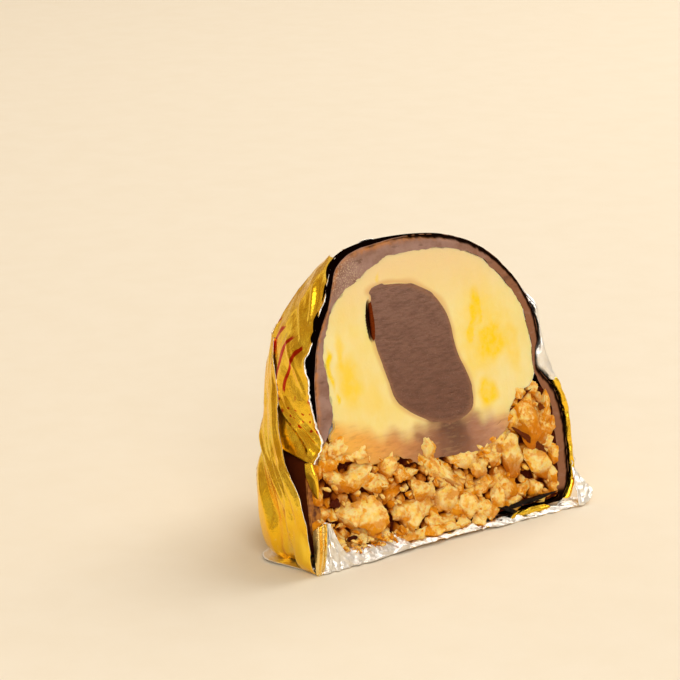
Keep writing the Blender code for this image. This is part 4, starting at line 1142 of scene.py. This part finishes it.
def underside_table(columns, rows):
    """The flat sheet under the praline, gathered from the base all round."""
    angles = np.linspace(0.0, math.pi, columns)[None]
    reach = 0.3 + 13.6 * np.linspace(0.0, 1.0, rows)[:, None]
    level = np.full((rows, columns), 0.12)
    return np.stack([reach * np.cos(angles), reach * np.sin(angles) - 0.2, level], axis=2)


def curl_table(columns, rows, low, high):
    """The right-hand torn edge, turned in against the chocolate, between two heights."""
    wall, wrap = through(SHELL_RIGHT, 200)[20:170], through(FOIL_RIGHT, 200)
    table = np.zeros((rows, columns, 3))
    share = np.linspace(0.0, 1.0, columns)
    for row, height in enumerate(np.linspace(low, high, rows)):
        inner = np.interp(height, wall[:, 1], wall[:, 0]) + 0.18
        inner += 0.25 * abs(ripple((3.0, 0, height), 1.3, 81))
        flare = sum(reach * smooth(1.0 - abs(height - middle) / span) for middle, span, reach in CURL_FLARES)
        outer = np.interp(height, wrap[:, 1], wrap[:, 0]) + flare + 0.15 * ripple((9.0, 0, height), 1.0, 82)
        back = 1.2 * smooth((height - 21.0) / 2.2)
        table[row, :, 0] = inner * (1 - share) + max(outer, inner + 0.1) * share
        table[row, :, 1] = 0.55 - 0.55 * share - 0.25 * np.sin(math.pi * share) + back
        table[row, :, 2] = height
    return table


def creased(table, *facets):
    """A sheet pushed out along its normals by facets, each (height, slant, cell, seed)."""
    return table + normals_of(table) * heights_on(table, facets)


lip = creased(lip_table(260, 26), (0.10, 0.0, (1.1, 0.8), 75), (0.06, 1.0, (0.5, 0.7), 79))
corner = creased(net(BARE_CORNER_NET, 80, 60), (0.06, 0.4, (0.5, 1.2), 76))
right_point = creased(net(POINT_NET, 40, 50), (0.11, 0.0, (0.6, 0.9), 77))
# The gathers get a paler copy of the gold: painted highlight on their ridges.
pale_lit_gold = gold_foil("gold_foil_pale_lit", wear_and_sheen=0.6)
foil_piece("foil_lip", lip, silver_in_front)
foil_piece("foil_underside", underside_table(60, 12)[:, ::-1], silver_in_front)
foil_piece("foil_gathers", net(GATHERED_NET, 70, 40), [pale_lit_gold, bare_silver])
foil_piece("foil_bare_corner", corner, silver_in_front)
foil_piece("foil_right_point", right_point, silver_in_front)
for name, low, high, finishes in (("foil_right_curl", 13.4, 23.4, silver_in_front),
                                  ("foil_right_edge", 0.8, 13.6, gold_in_front)):
    foil_piece(name, creased(curl_table(16, 90, low, high), (0.04, 0.0, (0.6, 1.4), 78)), finishes)
foil_piece("foil_right_fold", creased(net(FOLD_NET, 60, 20), (0.05, 0.0, (0.9, 0.5), 80)), gold_in_front)
foil_piece("foil_tab", net(TAB_NET, 30, 40), [bare_silver, bare_silver])
foil_piece("foil_scrap", net(SCRAP_NET, 24, 30), gold_in_front)


# Studio. A seamless warm cream table, one large soft light from the right and behind, a weak fill from
# the front left, and a long lens a little above the praline.
SHEET = 4.0
SKY_DIM, SKY_BRIGHT = 0.36, 0.72
BRIGHT_SIDE = (0.55, 0.62, 0.56)
CAMERA_PLACE = (-0.15581, -0.197227, 0.09218)
CAMERA_DOWN, CAMERA_TURN = math.radians(16.15), math.radians(36.55)
FOCAL_LENGTH = 138.39


def table_top():
    made = Finish("cream_table", Roughness=0.75, Specular_IOR_Level=0.15)
    mottled = made.ramp(made.grain(6.0 * MM, 4.0, 0.6), 0.35, 0.65)
    made.set("Base Color", made.mix(mottled, (0.812, 0.758, 0.634), (0.824, 0.774, 0.656)))
    return made.material


made = bmesh.new()
bmesh.ops.create_grid(made, x_segments=1, y_segments=1, size=SHEET / 2)
sheet = bpy.data.meshes.new("table_sheet")
made.to_mesh(sheet)
made.free()
sheet.materials.append(table_top())
table = bpy.data.objects.new("table_sheet", sheet)
bpy.context.scene.collection.objects.link(table)

world = bpy.data.worlds.new("studio")
world.use_nodes = True
sky = Nodes(world.node_tree, "Generated")
towards = sky.node("VectorMath", {0: sky.where, 1: BRIGHT_SIDE}, operation="DOT_PRODUCT").outputs["Value"]
brightness = sky.ramp(towards, -0.6, 0.7, SKY_DIM, SKY_BRIGHT)
patches = sky.node("TexNoise", {"Vector": sky.where, "Scale": 2.6, "Detail": 1.0}).outputs[0]
warmth = sky.mix(sky.ramp(patches, 0.42, 0.60), (1.0, 0.60, 0.25), (1.0, 0.975, 0.92))
background = world.node_tree.nodes["Background"]
sky.give(background.inputs["Color"], warmth)
sky.give(background.inputs["Strength"], sky.times(brightness, sky.ramp(patches, 0.42, 0.58, 0.50, 1.38)))
bpy.context.scene.world = world
bpy.context.scene.view_settings.view_transform = "Standard"


def soft_light(name, place, aim, size, power, colour):
    lamp = bpy.data.lights.new(name, "AREA")
    lamp.shape = "RECTANGLE"
    lamp.size, lamp.size_y = size
    lamp.energy = power
    lamp.color = colour
    light = bpy.data.objects.new(name, lamp)
    light.location = place
    light.rotation_euler = (Vector(aim) - Vector(place)).to_track_quat("-Z", "Y").to_euler()
    bpy.context.scene.collection.objects.link(light)


soft_light("key", (0.45, 0.10, 0.55), (0, 0, 0.01), (0.5, 0.5), 3.1, (1.0, 0.95, 0.88))
soft_light("front_fill", (-0.35, -0.55, 0.40), (0, 0, 0.012), (0.6, 0.4), 3.0, (1.0, 0.96, 0.90))

lens = bpy.data.cameras.new("product_camera")
lens.lens = FOCAL_LENGTH
lens.sensor_width = 36.0
lens.clip_start, lens.clip_end = 0.01, 20.0
camera = bpy.data.objects.new("product_camera", lens)
bpy.context.scene.collection.objects.link(camera)
flat = math.cos(CAMERA_DOWN)
ahead = Vector((math.sin(CAMERA_TURN) * flat, math.cos(CAMERA_TURN) * flat, -math.sin(CAMERA_DOWN)))
camera.location = CAMERA_PLACE
camera.rotation_euler = ahead.to_track_quat("-Z", "Y").to_euler()
bpy.context.scene.camera = camera
